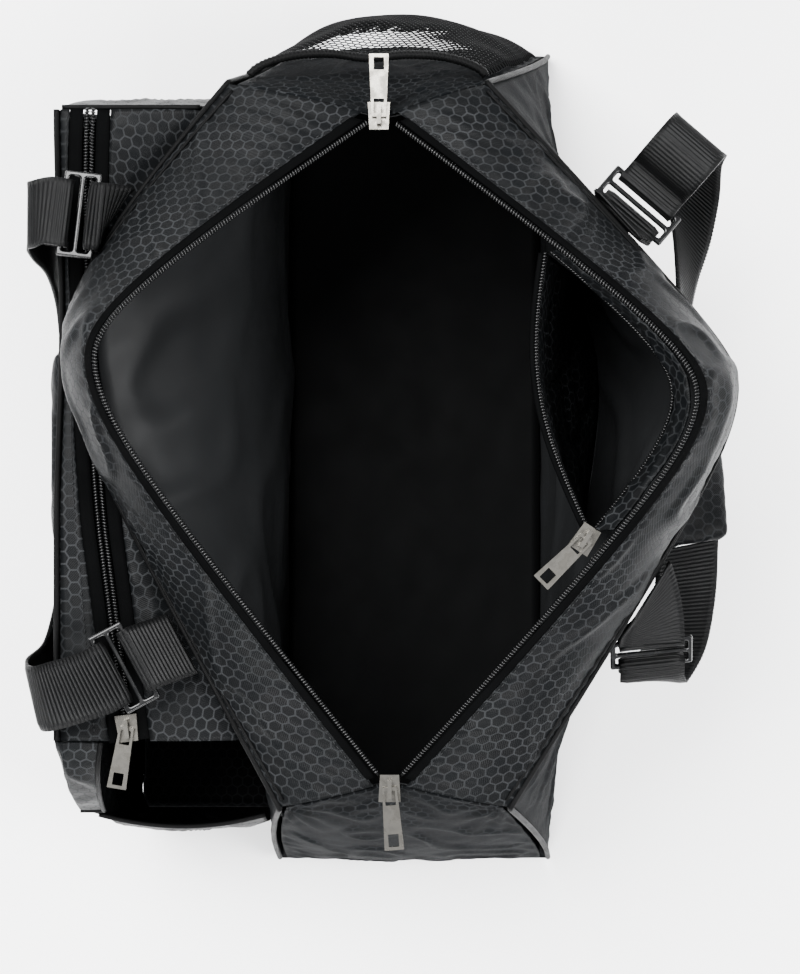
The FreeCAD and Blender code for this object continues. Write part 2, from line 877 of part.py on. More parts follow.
# ---------------------------------------------------------------- straps


class SlideFrame:
    """Where a strap slide sits: its centre and its three directions."""

    def __init__(self, sizes, name):
        out, along, up, across_x, across_y, pitch, root = sizes.place(name)
        reference = sizes.racket_top_out if name.startswith("left") else sizes.seam_right_out
        sign = -1 if name.startswith("left") else 1
        self.centre = FreeCAD.Vector(
            sign * (reference + out),
            along * sizes.base_half_length,
            sizes.wall_height + up,
        )
        self.across = FreeCAD.Vector(across_x, across_y, 0).normalize()
        outward = self.across.cross(UP).normalize()
        if outward.x * sign < 0:
            outward = outward * -1
        if name == "right_near" and outward.y > 0:
            outward = outward * -1
        angle = math.radians(pitch)
        self.turned = self.across.cross(UP).dot(outward) < 0
        self.outward = outward * math.cos(angle) - UP * math.sin(angle)
        self.lift = outward * math.sin(angle) + UP * math.cos(angle)

        self.root_along = root * sizes.base_half_length
        self.sign = sign

    def spot(self, out, lift):
        return self.centre + self.outward * out + self.lift * lift

    def root(self, side):
        """Sewn end of the tab, just outside the seam, and the seam's way."""
        share = side.share_at(self.root_along, 1)
        before, after = side.seam(share - 0.01), side.seam(share + 0.01)
        way = (before - after).normalize()
        outward = way.cross(UP).normalize()
        if outward.x * self.sign < 0:
            outward = outward * -1
        return side.seam(share) + outward * ROOT_OUT, way

    def placement(self):
        turn = FreeCAD.Rotation(self.across, self.outward, self.lift, "ZXY")
        return FreeCAD.Placement(self.centre, turn)


def ribbon_rings(points, acrosses, width, thickness):
    """Sections of a strap through points; its outer face is on them."""
    rings = []
    for index, (point, across) in enumerate(zip(points, acrosses)):
        before = points[max(index - 1, 0)]
        after = points[min(index + 1, len(points) - 1)]
        depth = across.cross(after - before).normalize() * thickness
        half = across * (width / 2)
        rings.append([point - half, point + half, point + half + depth, point - half + depth])
    return rings


def ribbon(points, acrosses, width, thickness):
    """Strap made of flat triangles, for runs that twist."""
    return faceted_solid(between_rings(ribbon_rings(points, acrosses, width, thickness)))


def ruled_ribbon(points, acrosses, width, thickness):
    """Strap made of ruled faces, for short folded tabs."""
    rings = ribbon_rings(points, acrosses, width, thickness)
    sections = [Part.makePolygon([*ring, ring[0]]) for ring in rings]
    return Part.makeLoft(sections, True, True)


def between_rings(rings):
    """The rings with even in-between ones, so that twists stay smooth."""
    result = []
    for first, second in zip(rings, rings[1:]):
        for share in steps(0, 1, RING_STEPS + 1)[:-1]:
            result.append([a + (b - a) * share for a, b in zip(first, second)])
    return result + [rings[-1]]


def faceted_solid(rings):
    """Closed solid of flat triangles through rings of four corners."""
    start, end = rings[0], rings[-1]
    corners = [(start[0], start[2], start[1]), (start[0], start[3], start[2])]
    corners += [(end[0], end[1], end[2]), (end[0], end[2], end[3])]
    for first, second in zip(rings, rings[1:]):
        for here, there in ((0, 1), (1, 2), (2, 3), (3, 0)):
            corners.append((first[here], first[there], second[there]))
            corners.append((first[here], second[there], second[here]))
    faces = [Part.Face(Part.makePolygon([*corner, corner[0]])) for corner in corners]
    shell = Part.makeShell(faces)
    shell.sewShape()
    solid = Part.makeSolid(shell)
    if solid.Volume < 0:
        solid.reverse()
    return solid


ROOT_OUT = 3.5
RING_STEPS = 4


def tab_ribbon(sizes, frame, side):
    """Webbing from the seam round the slide's bar and back to the seam."""
    root, seam_way = frame.root(side)
    layer = sizes.webbing_thickness + 0.3
    loop = [frame.spot(out, lift) for out, lift in loop_profile(sizes, -1, 2)]
    across = frame.across * (1 if frame.turned else -1)
    if seam_way.dot(across) < 0:
        seam_way = seam_way * -1
    points = [root - UP * layer] + loop + [root + UP * layer]
    ways = [seam_way] + [across] * len(loop) + [seam_way]
    return ruled_ribbon(points, ways, sizes.webbing_width, sizes.webbing_thickness)


def loop_profile(sizes, sign, tail):
    """Outer face of webbing folded round a slide bar, in the slide's frame."""
    wire = sizes.slide_wire / 2 + 0.3 + sizes.webbing_thickness
    bar = sign * (sizes.slide_width / 2 - sizes.slide_wire / 2)
    inside = bar - sign * (sizes.slide_wire / 2 + 0.3 + sizes.webbing_thickness)
    end = sign * (sizes.slide_width / 2 + tail)
    middle = sign * (sizes.slide_width / 2 + tail / 2)
    half = wire * 0.72
    near_bar = bar - sign * wire * 0.72
    return [
        (end, -wire), (middle, -wire), (bar, -wire), (near_bar, -half),
        (inside, 0), (near_bar, half), (bar, wire), (middle, wire), (end, wire),
    ]


def strap_run(sizes, name):
    """Points and directions of a strap run between its slide and its pad."""
    left = name.startswith("left")
    reference = sizes.racket_top_out if left else sizes.seam_right_out
    sign = -1 if left else 1
    points, acrosses = [], []
    for out, along, up, x, y, z in sizes.run(name):
        points.append(FreeCAD.Vector(
            sign * (reference + out),
            along * sizes.base_half_length,
            sizes.wall_height + up,
        ))
        acrosses.append(FreeCAD.Vector(x, y, z).normalize())
    return points, acrosses


def build_strap(doc, sizes, word, side):
    """One shoulder strap: tabs, slides, webbing and padded middle."""
    nodes = []
    for end in ("far", "near"):
        name = "%s_%s" % (word, end)
        frame = SlideFrame(sizes, name)
        slide = add_slide(doc, sizes, "strap_slide_" + name)
        slide.Placement = frame.placement()
        nodes.append(slide)
        loop = tab_ribbon(sizes, frame, side)
        nodes.append(add_shape(doc, "strap_tab_" + name, loop))
        fold = [frame.spot(out, lift) for out, lift in loop_profile(sizes, 1, 6)]
        points, acrosses = strap_run(sizes, name)
        way = frame.across * (-1 if frame.turned else 1)
        if way.dot(acrosses[0]) < 0:
            acrosses = [across * -1 for across in acrosses]
        run = ribbon(
            fold + points, [way] * len(fold) + acrosses,
            sizes.webbing_width, sizes.webbing_thickness)
        nodes.append(add_shape(doc, "strap_webbing_" + name, run))
    points, acrosses = strap_run(sizes, word + "_pad")
    pad = ribbon(points, acrosses, sizes.pad_width, sizes.pad_thickness)
    nodes.append(add_shape(doc, "strap_pad_" + word, pad))
    return nodes


# ---------------------------------------------------------------- hardware


def origin_plane(body, role):
    for feature in body.Origin.OriginFeatures:
        if feature.Role == role:
            return feature
    raise ValueError(role)


class Maker:
    """Makes a PartDesign body whose sizes are bound to the spreadsheet."""

    def __init__(self, doc, label):
        self.doc = doc
        self.label = label
        self.body = doc.addObject("PartDesign::Body", label)
        self.body.Label = label
        self.count = 0

    def new(self, kind, word):
        self.count += 1
        return self.body.newObject(kind, "%s_%s%d" % (self.label, word, self.count))

    def sketch(self, role="XY_Plane", lift=None):
        sketch = self.new("Sketcher::SketchObject", "sketch")
        sketch.AttachmentSupport = [(origin_plane(self.body, role), "")]
        sketch.MapMode = "FlatFace"
        if lift:
            sketch.setExpression(".AttachmentOffset.Base.z", lift)
        return sketch

    def trapezoid(self, sketch, low_width, high_width, low, high):
        """Four-sided outline, even about the vertical axis."""
        corners = ((-4, -3), (4, -3), (4, 3), (-4, 3))
        points = [FreeCAD.Vector(x, y, 0) for x, y in corners]
        for index in range(4):
            start, end = points[index], points[(index + 1) % 4]
            sketch.addGeometry(Part.LineSegment(start, end), False)
        add = sketch.addConstraint
        for index in range(4):
            add(Sketcher.Constraint("Coincident", index, 2, (index + 1) % 4, 1))
        add(Sketcher.Constraint("Symmetric", 0, 1, 0, 2, -2))
        add(Sketcher.Constraint("Symmetric", 2, 1, 2, 2, -2))
        bounds = (
            ("DistanceX", (0, 1, 0, 2), 8, low_width, "low_width"),
            ("DistanceX", (2, 2, 2, 1), 8, high_width, "high_width"),
            ("DistanceY", (-1, 1, 0, 1), -3, low, "low"),
            ("DistanceY", (-1, 1, 2, 1), 3, high, "high"),
        )
        for kind, where, value, expression, name in bounds:
            number = add(Sketcher.Constraint(kind, *where, value))
            sketch.renameConstraint(number, name)
            sketch.setExpression("Constraints." + name, expression)

    def rectangle(self, sketch, width, low, high):
        self.trapezoid(sketch, width, width, low, high)

    def pad(self, sketch, length, both=False):
        pad = self.new("PartDesign::Pad", "pad")
        pad.Profile = sketch
        if both:
            pad.SideType = "Symmetric"
        pad.setExpression("Length", length)
        return pad

    def pocket(self, sketch, length, reverse=False, both=False):
        pocket = self.new("PartDesign::Pocket", "pocket")
        pocket.Profile = sketch
        pocket.Reversed = reverse
        if both:
            pocket.SideType = "Symmetric"
        pocket.setExpression("Length", length)
        return pocket

    def fillet(self, radius, chosen):
        self.doc.recompute()
        tip = self.body.Tip
        names = [
            "Edge%d" % (index + 1)
            for index, edge in enumerate(tip.Shape.Edges) if chosen(edge)
        ]
        fillet = self.new("PartDesign::Fillet", "fillet")
        fillet.Base = (tip, names)
        fillet.setExpression("Radius", radius)
        return fillet


def upright(edge):
    first, last = edge.firstVertex().Point, edge.lastVertex().Point
    return abs(first.x - last.x) < TIGHT and abs(first.y - last.y) < TIGHT


def add_slide(doc, sizes, label):
    """Wire slide: a rounded frame with a middle bar."""
    maker = Maker(doc, label)
    outline = maker.sketch(lift="-Sizes.slide_wire / 2")
    maker.rectangle(outline, "Sizes.slide_length", "-Sizes.slide_width / 2", "Sizes.slide_width / 2")
    maker.pad(outline, "Sizes.slide_wire")
    inner = "Sizes.slide_length - 2 * Sizes.slide_wire"
    bar = "Sizes.slide_bar / 2"
    rim = "Sizes.slide_width / 2 - Sizes.slide_wire"
    for low, high in ((bar, rim), ("-(%s)" % rim, "-" + bar)):
        window = maker.sketch(lift="-Sizes.slide_wire / 2")
        maker.rectangle(window, inner, low, high)
        maker.pocket(window, "Sizes.slide_wire", reverse=True)
    maker.fillet("Sizes.slide_round", lambda edge: True)
    return maker.body


def add_slider(doc, label):
    """Zip slider: a channel over the coils with a crown for the puller."""
    maker = Maker(doc, label)
    half = "Sizes.slider_length / 2"
    block = maker.sketch()
    maker.trapezoid(block, "Sizes.slider_width * 0.86", "Sizes.slider_width", "-" + half, half)
    maker.pad(block, "Sizes.slider_inner_height + Sizes.slider_plate")
    channel = maker.sketch()
    maker.rectangle(channel, "Sizes.slider_inner_width", "-Sizes.slider_length", "Sizes.slider_length")
    maker.pocket(channel, "Sizes.slider_inner_height", reverse=True)
    crown = maker.sketch(lift="Sizes.slider_inner_height + Sizes.slider_plate")
    maker.rectangle(crown, "Sizes.crown_width", "-Sizes.crown_length / 2", "Sizes.crown_length / 2")
    maker.pad(crown, "Sizes.crown_height")
    hole = maker.sketch("YZ_Plane")
    base = "Sizes.slider_inner_height + Sizes.slider_plate"
    maker.rectangle(hole, "Sizes.crown_hole_length", base, base + " + Sizes.crown_hole_height")
    maker.pocket(hole, "2 * Sizes.crown_width", both=True)
    return maker.body


def add_puller(doc, label):
    """Zip puller: a tapered plate with a window at each end."""
    maker = Maker(doc, label)
    lift = "-Sizes.puller_thickness / 2"
    end = "-Sizes.puller_length + Sizes.puller_bar / 2"
    plate = maker.sketch(lift=lift)
    maker.trapezoid(plate, "Sizes.puller_end_width", "Sizes.puller_width", end, "Sizes.puller_bar / 2")
    maker.pad(plate, "Sizes.puller_thickness")
    window = maker.sketch(lift=lift)
    head = "-Sizes.puller_bar / 2"
    maker.rectangle(
        window, "Sizes.puller_window_width", head + " - Sizes.puller_window_length", head)
    maker.pocket(window, "Sizes.puller_thickness", reverse=True)
    tail = maker.sketch(lift=lift)
    low = end + " + Sizes.puller_bar"
    maker.rectangle(tail, "Sizes.puller_window_width", low, low + " + Sizes.puller_tail_length")
    maker.pocket(tail, "Sizes.puller_thickness", reverse=True)
    maker.fillet("Sizes.puller_edge", upright)
    return maker.body


def add_plate(doc, label, half_width, low, high, thickness, lift="0 mm"):
    """Flat plate on the ground plane, centred across."""
    maker = Maker(doc, label)
    outline = maker.sketch(lift=lift)
    maker.rectangle(outline, "2 * (%s)" % half_width, low, high)
    maker.pad(outline, thickness)
    maker.fillet("Sizes.base_round", upright)
    return maker.body


def build_bases(doc, sizes):
    """Base panels, the stiff board in the main base and its lining."""
    half = "Sizes.base_half_length"
    base = add_plate(doc, "base_panel", "Sizes.base_half_width + Sizes.clearance",
                     "-" + half, half, "Sizes.base_thickness")
    inset = "Sizes.board_inset"
    low = "Sizes.base_thickness + Sizes.clearance"
    board = add_plate(doc, "base_board", "Sizes.base_half_width - " + inset,
                      "-%s + %s" % (half, inset), "%s - %s" % (half, inset),
                      "Sizes.board_thickness", low)
    side = "Sizes.lining_gap - Sizes.lining - 1.25 * Sizes.clearance"
    end = "Sizes.lining_gap + Sizes.lining + 5 * Sizes.clearance"
    cover = add_plate(doc, "lining_floor", "Sizes.base_half_width - " + side,
                      "-%s + %s" % (half, end), "%s - (%s)" % (half, end),
                      "Sizes.lining", low + " + Sizes.board_thickness + Sizes.clearance")
    racket = add_plate(doc, "racket_base", "Sizes.racket_base_width / 2",
                       "-Sizes.racket_near_base", "Sizes.racket_far_base",
                       "Sizes.base_thickness")
    out = sizes.base_half_width + 1 + sizes.racket_base_width / 2
    racket.Placement = FreeCAD.Placement(FreeCAD.Vector(-out, 0, 0), FreeCAD.Rotation())
    return [base, board, cover, racket]


def slider_placement(spot, away, tip=UP):
    """Slider at a spot on its coils, its front end pointing away."""
    away = (away - tip * away.dot(tip)).normalize()
    side = away.cross(tip)
    turn = FreeCAD.Rotation(side, away, tip, "ZYX")
    return FreeCAD.Placement(spot, turn)


def build_sliders(doc, sizes, sides):
    """The four zip sliders with their pullers."""
    nodes = []
    for name, spot, away, hang, tip in slider_stations(sizes, sides):
        slider = add_slider(doc, name + "_slider")
        lift = tip * (sizes.tape_thickness / 2 + SLIDER_GAP)
        slider.Placement = slider_placement(spot + lift, away, tip)
        pin = sizes.slider_inner_height + sizes.slider_plate + sizes.crown_hole_height / 2
        puller = add_puller(doc, name + "_puller")
        puller.Placement = slider_placement(spot + lift + tip * pin, hang * -1, tip)
        nodes += [slider, puller]
    return nodes


SLIDER_GAP = 0.3


def slider_stations(sizes, sides):
    """Name, place, front direction and puller direction of each slider."""
    left, right = sides
    far = (left.mouth(0) + right.mouth(0)) / 2 + FreeCAD.Vector(-1.1, -1.5, -0.2)
    near = (left.mouth(1) + right.mouth(1)) / 2 + FreeCAD.Vector(0, -1, 0.6)
    zip_line = racket_zip_points(sizes)
    run = (zip_line[-2] - zip_line[-1]).normalize()
    racket = zip_line[-1] + run * (sizes.slider_length / 2)
    outer, inner = inner_lips(sizes, right)
    inner_run = FreeCAD.Vector(-0.55, -0.83, 0).normalize()
    inner_spot = (outer[-1] + inner[-1]) / 2 + inner_run * (sizes.slider_length / 2 - 1)
    along = FreeCAD.Vector(0, 1, 0)
    return (
        ("main_far", far, along, FreeCAD.Vector(0, 1, 0.02), UP),
        ("main_near", near, along * -1, FreeCAD.Vector(0.08, -1, 0), UP),
        ("racket", racket, run, FreeCAD.Vector(-0.17, -1, 0), UP),
        ("inner", inner_spot, inner_run, FreeCAD.Vector(-0.72, -0.7, 0), UP),
    )


# ---------------------------------------------------------------- main


def flip(grid):
    return [list(reversed(line)) for line in grid]


def main():
    doc = FreeCAD.newDocument("RacketBackpack")
    sizes = Sizes(fill_sheet(doc))
    sides = (Side(sizes, "left", -1), Side(sizes, "right", 1))
    nodes = build_main_bag(doc, sizes, sides)
    nodes += build_main_zip(doc, sizes, sides)
    nodes += build_racket_compartment(doc, sizes, sides)
    nodes += build_mesh_pocket(doc, sizes, sides)
    nodes += build_inner_pocket(doc, sizes, sides[1])
    nodes += build_bases(doc, sizes)
    nodes += build_sliders(doc, sizes, sides)
    nodes += build_strap(doc, sizes, "left", sides[0])
    nodes += build_strap(doc, sizes, "right", sides[1])
    doc.recompute()
    os.makedirs("parts", exist_ok=True)
    for node in nodes:
        if node.Shape.isNull() or not node.Shape.isValid():
            raise ValueError("bad shape: " + node.Label)
        if "Invalid" in node.State or "Error" in node.State:
            raise ValueError("bad state: " + node.Label)
        node.Shape.exportStep("parts/%s.step" % node.Label)
    print(len(nodes), "nodes")


main()
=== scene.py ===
"""Visual model of the racket backpack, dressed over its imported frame.

Lengths inside the forms are millimetres; meshes are made in metres.
X runs to the right, Y to the mesh pocket end, Z up from the ground.
"""

import logging
import math
from dataclasses import dataclass
from enum import Enum
from typing import Callable, Optional, Sequence

import bmesh
import bpy
from mathutils import Matrix, Vector, noise


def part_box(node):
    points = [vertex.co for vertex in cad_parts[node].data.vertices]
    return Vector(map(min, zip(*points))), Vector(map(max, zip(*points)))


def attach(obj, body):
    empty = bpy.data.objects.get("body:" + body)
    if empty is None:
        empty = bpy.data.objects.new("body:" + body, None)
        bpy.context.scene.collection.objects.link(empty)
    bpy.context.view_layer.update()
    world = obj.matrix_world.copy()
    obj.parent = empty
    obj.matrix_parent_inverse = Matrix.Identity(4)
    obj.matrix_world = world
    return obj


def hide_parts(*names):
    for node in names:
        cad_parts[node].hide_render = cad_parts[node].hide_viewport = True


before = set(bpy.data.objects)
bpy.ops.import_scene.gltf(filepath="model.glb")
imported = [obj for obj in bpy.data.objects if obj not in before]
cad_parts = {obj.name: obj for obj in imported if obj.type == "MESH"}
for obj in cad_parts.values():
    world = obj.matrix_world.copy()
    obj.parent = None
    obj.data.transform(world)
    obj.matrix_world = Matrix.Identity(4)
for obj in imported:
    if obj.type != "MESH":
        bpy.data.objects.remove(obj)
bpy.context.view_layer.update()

MM = 0.001
UP = Vector((0, 0, 1))
LOG = logging.getLogger("racket_backpack")

Surface = Callable[[float, float], Vector]
Relief = Callable[[Vector, float, float], float]


class Slot(Enum):
    """Material slots of the record."""

    HEX = "hex_fabric"
    LINING = "lining_fabric"
    PIPING = "piping_black"
    TAPE = "zip_tape"
    COIL = "zip_coil"
    NICKEL = "nickel"
    NET = "mesh_net"
    WEBBING = "webbing"
    WIRE = "wire"
    BOARD = "board"


class Body(Enum):
    """Moving bodies that pieces ride on."""

    BAG = "bag"
    LEFT = "strap_left"
    RIGHT = "strap_right"


# ---------------------------------------------------------------- small helpers


def steps(first: float, last: float, count: int) -> list[float]:
    """Even steps.

    Args:
        first: First value.
        last: Last value.
        count: How many values.
    Returns:
        The values in order.
    """
    return [first + (last - first) * index / (count - 1) for index in range(count)]


def tent(share: float, rounding: float) -> float:
    """Rounded tent, 1 in the middle and 0 at share -1 and 1.

    Args:
        share: Place from -1 to 1.
        rounding: Roundness of the peak.
    Returns:
        Height from 0 to 1.
    """
    top = math.hypot(1, rounding)
    return (top - math.hypot(share, rounding)) / (top - rounding)


def smooth(value: float) -> float:
    """Smooth step of a value clamped to 0..1.

    Args:
        value: Any number.
    Returns:
        Eased value from 0 to 1.
    """
    value = min(max(value, 0.0), 1.0)
    return value * value * (3 - 2 * value)


def curve_point(points: Sequence[Vector], share: float) -> Vector:
    """Point on a Catmull-Rom curve.

    Args:
        points: Control points.
        share: Place along the curve, 0 to 1.
    Returns:
        The point.
    """
    last = len(points) - 1
    place = min(max(share, 0.0), 1.0) * last
    index = min(int(place), last - 1)
    local = place - index
    p1, p2 = points[index], points[index + 1]
    p0 = points[index - 1] if index else p1 * 2 - p2
    p3 = points[index + 2] if index + 2 <= last else p2 * 2 - p1
    return 0.5 * (
        p1 * 2
        + (p2 - p0) * local
        + (p0 * 2 - p1 * 5 + p2 * 4 - p3) * local ** 2
        + (p1 * 3 - p0 - p2 * 3 + p3) * local ** 3
    )


def spaced(points: Sequence[Vector], pitch: float) -> list[Vector]:
    """Points at an even pitch along a line of points.

    Args:
        points: The line.
        pitch: Distance between the new points.
    Returns:
        The evenly spaced points.
    """
    result = [points[0].copy()]
    carried = 0.0
    for before, after in zip(points, points[1:]):
        run = after - before
        length = run.length
        place = pitch - carried
        while place <= length and length > 0:
            result.append(before + run * (place / length))
            place += pitch
        carried = length - (place - pitch)
    return result


def ways_along(points: Sequence[Vector]) -> list[Vector]:
    """Unit directions along a line of points.

    Args:
        points: The line.
    Returns:
        One direction per point.
    """
    last = len(points) - 1
    return [
        (points[min(i + 1, last)] - points[max(i - 1, 0)]).normalized()
        for i in range(last + 1)
    ]


def finish_piece(bm: bmesh.types.BMesh, name: str, material: bpy.types.Material,
                 soft: bool = True) -> bpy.types.Object:
    """Turn a bmesh into a shown object at the origin.

    Args:
        bm: The mesh being built, in metres. It is freed.
        name: Name of the piece.
        material: Its finish.
        soft: Whether faces are shaded smooth.
    Returns:
        The new object.
    """
    mesh = bpy.data.meshes.new(name)
    for face in bm.faces:
        face.smooth = soft
    bm.to_mesh(mesh)
    bm.free()
    mesh.materials.append(material)
    piece = bpy.data.objects.new(name, mesh)
    bpy.context.scene.collection.objects.link(piece)
    return piece


def place_piece(piece: bpy.types.Object, body: Body, slot: Slot, *nodes: str) -> bpy.types.Object:
    """Let a piece ride on a body and stand for its nodes.

    Args:
        piece: The piece.
        body: The body it moves with.
        slot: Its material slot; not used.
        nodes: Nodes that it stands for.
    Returns:
        The same piece.
    """
    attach(piece, body.value)
    if nodes:
        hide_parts(*nodes)
    return piece


# ---------------------------------------------------------------- finishes


class Graph:
    """A small writer of shader nodes for a material or a node group."""

    def __init__(self, tree: bpy.types.NodeTree) -> None:
        """Args:
            tree: The tree to write into.
        """
        self.tree = tree

    def node(self, kind: str, *inputs, **settings) -> bpy.types.Node:
        """Add a node.

        Args:
            kind: Node type.
            inputs: Values or sockets for its inputs, in order; None leaves one.
            settings: Properties of the node.
        Returns:
            The node.
        """
        made = self.tree.nodes.new(kind)
        for key, value in settings.items():
            setattr(made, key, value)
        for index, value in enumerate(inputs):
            self.feed(made.inputs[index], value)
        return made

    def feed(self, socket: bpy.types.NodeSocket, value) -> None:
        """Set or link an input.

        Args:
            socket: The input.
            value: A socket to link, a constant, or None.
        """
        if isinstance(value, bpy.types.NodeSocket):
            self.tree.links.new(value, socket)
        elif value is not None:
            socket.default_value = value

    def math(self, operation: str, *inputs) -> bpy.types.NodeSocket:
        """Add a maths node.

        Args:
            operation: Its operation.
            inputs: Its inputs.
        Returns:
            The value socket.
        """
        return self.node("ShaderNodeMath", *inputs, operation=operation).outputs[0]

    def vector(self, operation: str, *inputs) -> bpy.types.NodeSocket:
        """Add a vector maths node.

        Args:
            operation: Its operation.
            inputs: Its inputs.
        Returns:
            The vector or value socket.
        """
        made = self.node("ShaderNodeVectorMath", *inputs, operation=operation)
        scalar = operation in ("DOT_PRODUCT", "LENGTH", "DISTANCE")
        return made.outputs["Value" if scalar else "Vector"]

    def ramp(self, value, low: float, high: float,
             first: float = 0.0, last: float = 1.0) -> bpy.types.NodeSocket:
        """Map a value smoothly between two limits.

        Args:
            value: The input socket.
            low: Input that gives first.
            high: Input that gives last.
            first: Output at low.
            last: Output at high.
        Returns:
            The mapped value.
        """
        made = self.node("ShaderNodeMapRange", value, low, high, first, last)
        made.interpolation_type = "SMOOTHSTEP"
        return made.outputs[0]

    def blend(self, share, first, second) -> bpy.types.NodeSocket:
        """Mix two colours.

        Args:
            share: Share of the second.
            first: First colour.
            second: Second colour.
        Returns:
            The colour socket.
        """
        made = self.node("ShaderNodeMix", data_type="RGBA")
        self.feed(made.inputs[0], share)
        self.feed(made.inputs[6], first)
        self.feed(made.inputs[7], second)
        return made.outputs[2]


def grey(value: float, blue: float = 0.0) -> tuple[float, float, float, float]:
    """Grey with a slight blue cast.

    Args:
        value: Brightness.
        blue: Share added to blue.
    Returns:
        Colour with alpha.
    """
    return (value, value * (1 + blue / 2), value * (1 + blue), 1.0)


def hexagon_group() -> bpy.types.NodeTree:
    """Node group of a hexagon pattern on a plane.

    Returns:
        Group with a Vector input and Edge and Cell outputs.
    """
    group = bpy.data.node_groups.new("hexagons", "ShaderNodeTree")
    group.interface.new_socket("Vector", in_out="INPUT", socket_type="NodeSocketVector")
    group.interface.new_socket("Edge", in_out="OUTPUT", socket_type="NodeSocketFloat")
    group.interface.new_socket("Cell", in_out="OUTPUT", socket_type="NodeSocketFloat")
    graph = Graph(group)
    entry = group.nodes.new("NodeGroupInput")
    ending = group.nodes.new("NodeGroupOutput")
    repeat = Vector((1, math.sqrt(3), 1))
    point = graph.vector("ADD", entry.outputs[0], (200.0, 200 * repeat.y, 0.0))
    first = graph.vector("SUBTRACT", graph.vector("MODULO", point, repeat), repeat / 2)
    moved = graph.vector("SUBTRACT", point, repeat / 2)
    second = graph.vector("SUBTRACT", graph.vector("MODULO", moved, repeat), repeat / 2)
    flat = (1.0, 1.0, 0.0)
    first = graph.vector("MULTIPLY", first, flat)
    second = graph.vector("MULTIPLY", second, flat)
    nearer = graph.math("LESS_THAN", graph.vector("LENGTH", first), graph.vector("LENGTH", second))
    chosen = graph.node("ShaderNodeMix", data_type="VECTOR")
    graph.feed(chosen.inputs[0], nearer)
    graph.feed(chosen.inputs[4], second)
    graph.feed(chosen.inputs[5], first)
    local = chosen.outputs[1]
    folded = graph.vector("ABSOLUTE", local)
    slanted = graph.vector("DOT_PRODUCT", folded, (0.5, math.sqrt(3) / 2, 0.0))
    level = graph.node("ShaderNodeSeparateXYZ", folded).outputs[0]
    distance = graph.math("MAXIMUM", level, slanted)
    graph.feed(ending.inputs[0], graph.ramp(distance, 0.40, 0.47))
    centre = graph.vector("SUBTRACT", point, local)
    snapped = graph.vector("SNAP", graph.vector("ADD", centre, (0.25, 0.4, 0.0)), (0.5, 0.5, 1.0))
    random = graph.node("ShaderNodeTexWhiteNoise", snapped)
    graph.feed(ending.inputs[1], random.outputs["Value"])
    return group


@dataclass(frozen=True)
class Finish:
    """A finish made from plain shader values."""

    name: str
    colour: tuple[float, float, float, float]
    roughness: float
    metallic: float = 0.0
    sheen: float = 0.0
    coat: float = 0.0
    gloss: float = 0.5
    index: float = 1.5

    def start(self) -> tuple[bpy.types.Material, Graph, bpy.types.Node]:
        """Make the material with its shader.

        Returns:
            The material, its graph and its shader node.
        """
        material = bpy.data.materials.new(self.name)
        material.use_nodes = True
        shader = material.node_tree.nodes["Principled BSDF"]
        shader.inputs["Base Color"].default_value = self.colour
        shader.inputs["Roughness"].default_value = self.roughness
        shader.inputs["Metallic"].default_value = self.metallic
        shader.inputs["Sheen Weight"].default_value = self.sheen
        shader.inputs["Coat Weight"].default_value = self.coat
        shader.inputs["Specular IOR Level"].default_value = self.gloss
        shader.inputs["IOR"].default_value = self.index
        return material, Graph(material.node_tree), shader


@dataclass(frozen=True)
class HexFabric(Finish):
    """Satin jacquard with a honeycomb of fine outlines, brightened in patches by painted sheen."""

    cell: float = 6.0
    outline: float = 0.055
    group: Optional[bpy.types.NodeTree] = None

    def build(self) -> bpy.types.Material:
        """Make the material.

        Returns:
            The material.
        """
        material, graph, shader = self.start()
        plane = graph.node("ShaderNodeUVMap").outputs[0]
        cells = graph.node("ShaderNodeGroup", node_tree=self.group)
        graph.feed(cells.inputs[0], graph.vector("SCALE", plane))
        cells.inputs[0].links[0].from_node.inputs["Scale"].default_value = 1 / (self.cell * MM)
        edge, cell = cells.outputs
        grain = graph.node("ShaderNodeTexNoise", plane)
        grain.inputs["Scale"].default_value = 900
        weave = graph.node("ShaderNodeTexWave", plane, bands_direction="DIAGONAL")
        weave.inputs["Scale"].default_value = 520
        weave.inputs["Distortion"].default_value = 1.2
        # Painted sheen: large noise patches make the outline colour lighter where light would catch
        # it, and darker elsewhere.
        patch = graph.node("ShaderNodeTexNoise", plane)
        patch.inputs["Scale"].default_value = 22
        painted_sheen = graph.ramp(patch.outputs[0], 0.35, 0.7, 0.45, 1.0)
        strength = graph.math("MULTIPLY", edge, painted_sheen)
        dark = graph.blend(cell, self.colour, grey(self.colour[0] * 1.35, 0.1))
        base = graph.blend(strength, dark, grey(self.outline, 0.12))
        threads = graph.math("MULTIPLY", weave.outputs[0], 0.22)
        base = graph.blend(threads, base, grey(self.colour[0] * 0.5, 0.1))
        graph.feed(shader.inputs["Base Color"], base)
        rough = graph.ramp(edge, 0.0, 1.0, self.roughness, self.roughness + 0.14)
        rough = graph.math("ADD", rough, graph.math("MULTIPLY", grain.outputs[0], 0.08))
        graph.feed(shader.inputs["Roughness"], rough)
        height = graph.math("ADD", graph.math("MULTIPLY", edge, -0.6), weave.outputs[0])
        bump = graph.node("ShaderNodeBump")
        bump.inputs["Strength"].default_value = 0.35
        bump.inputs["Distance"].default_value = 0.0002
        graph.feed(bump.inputs["Height"], height)
        graph.feed(shader.inputs["Normal"], bump.outputs[0])
        return material


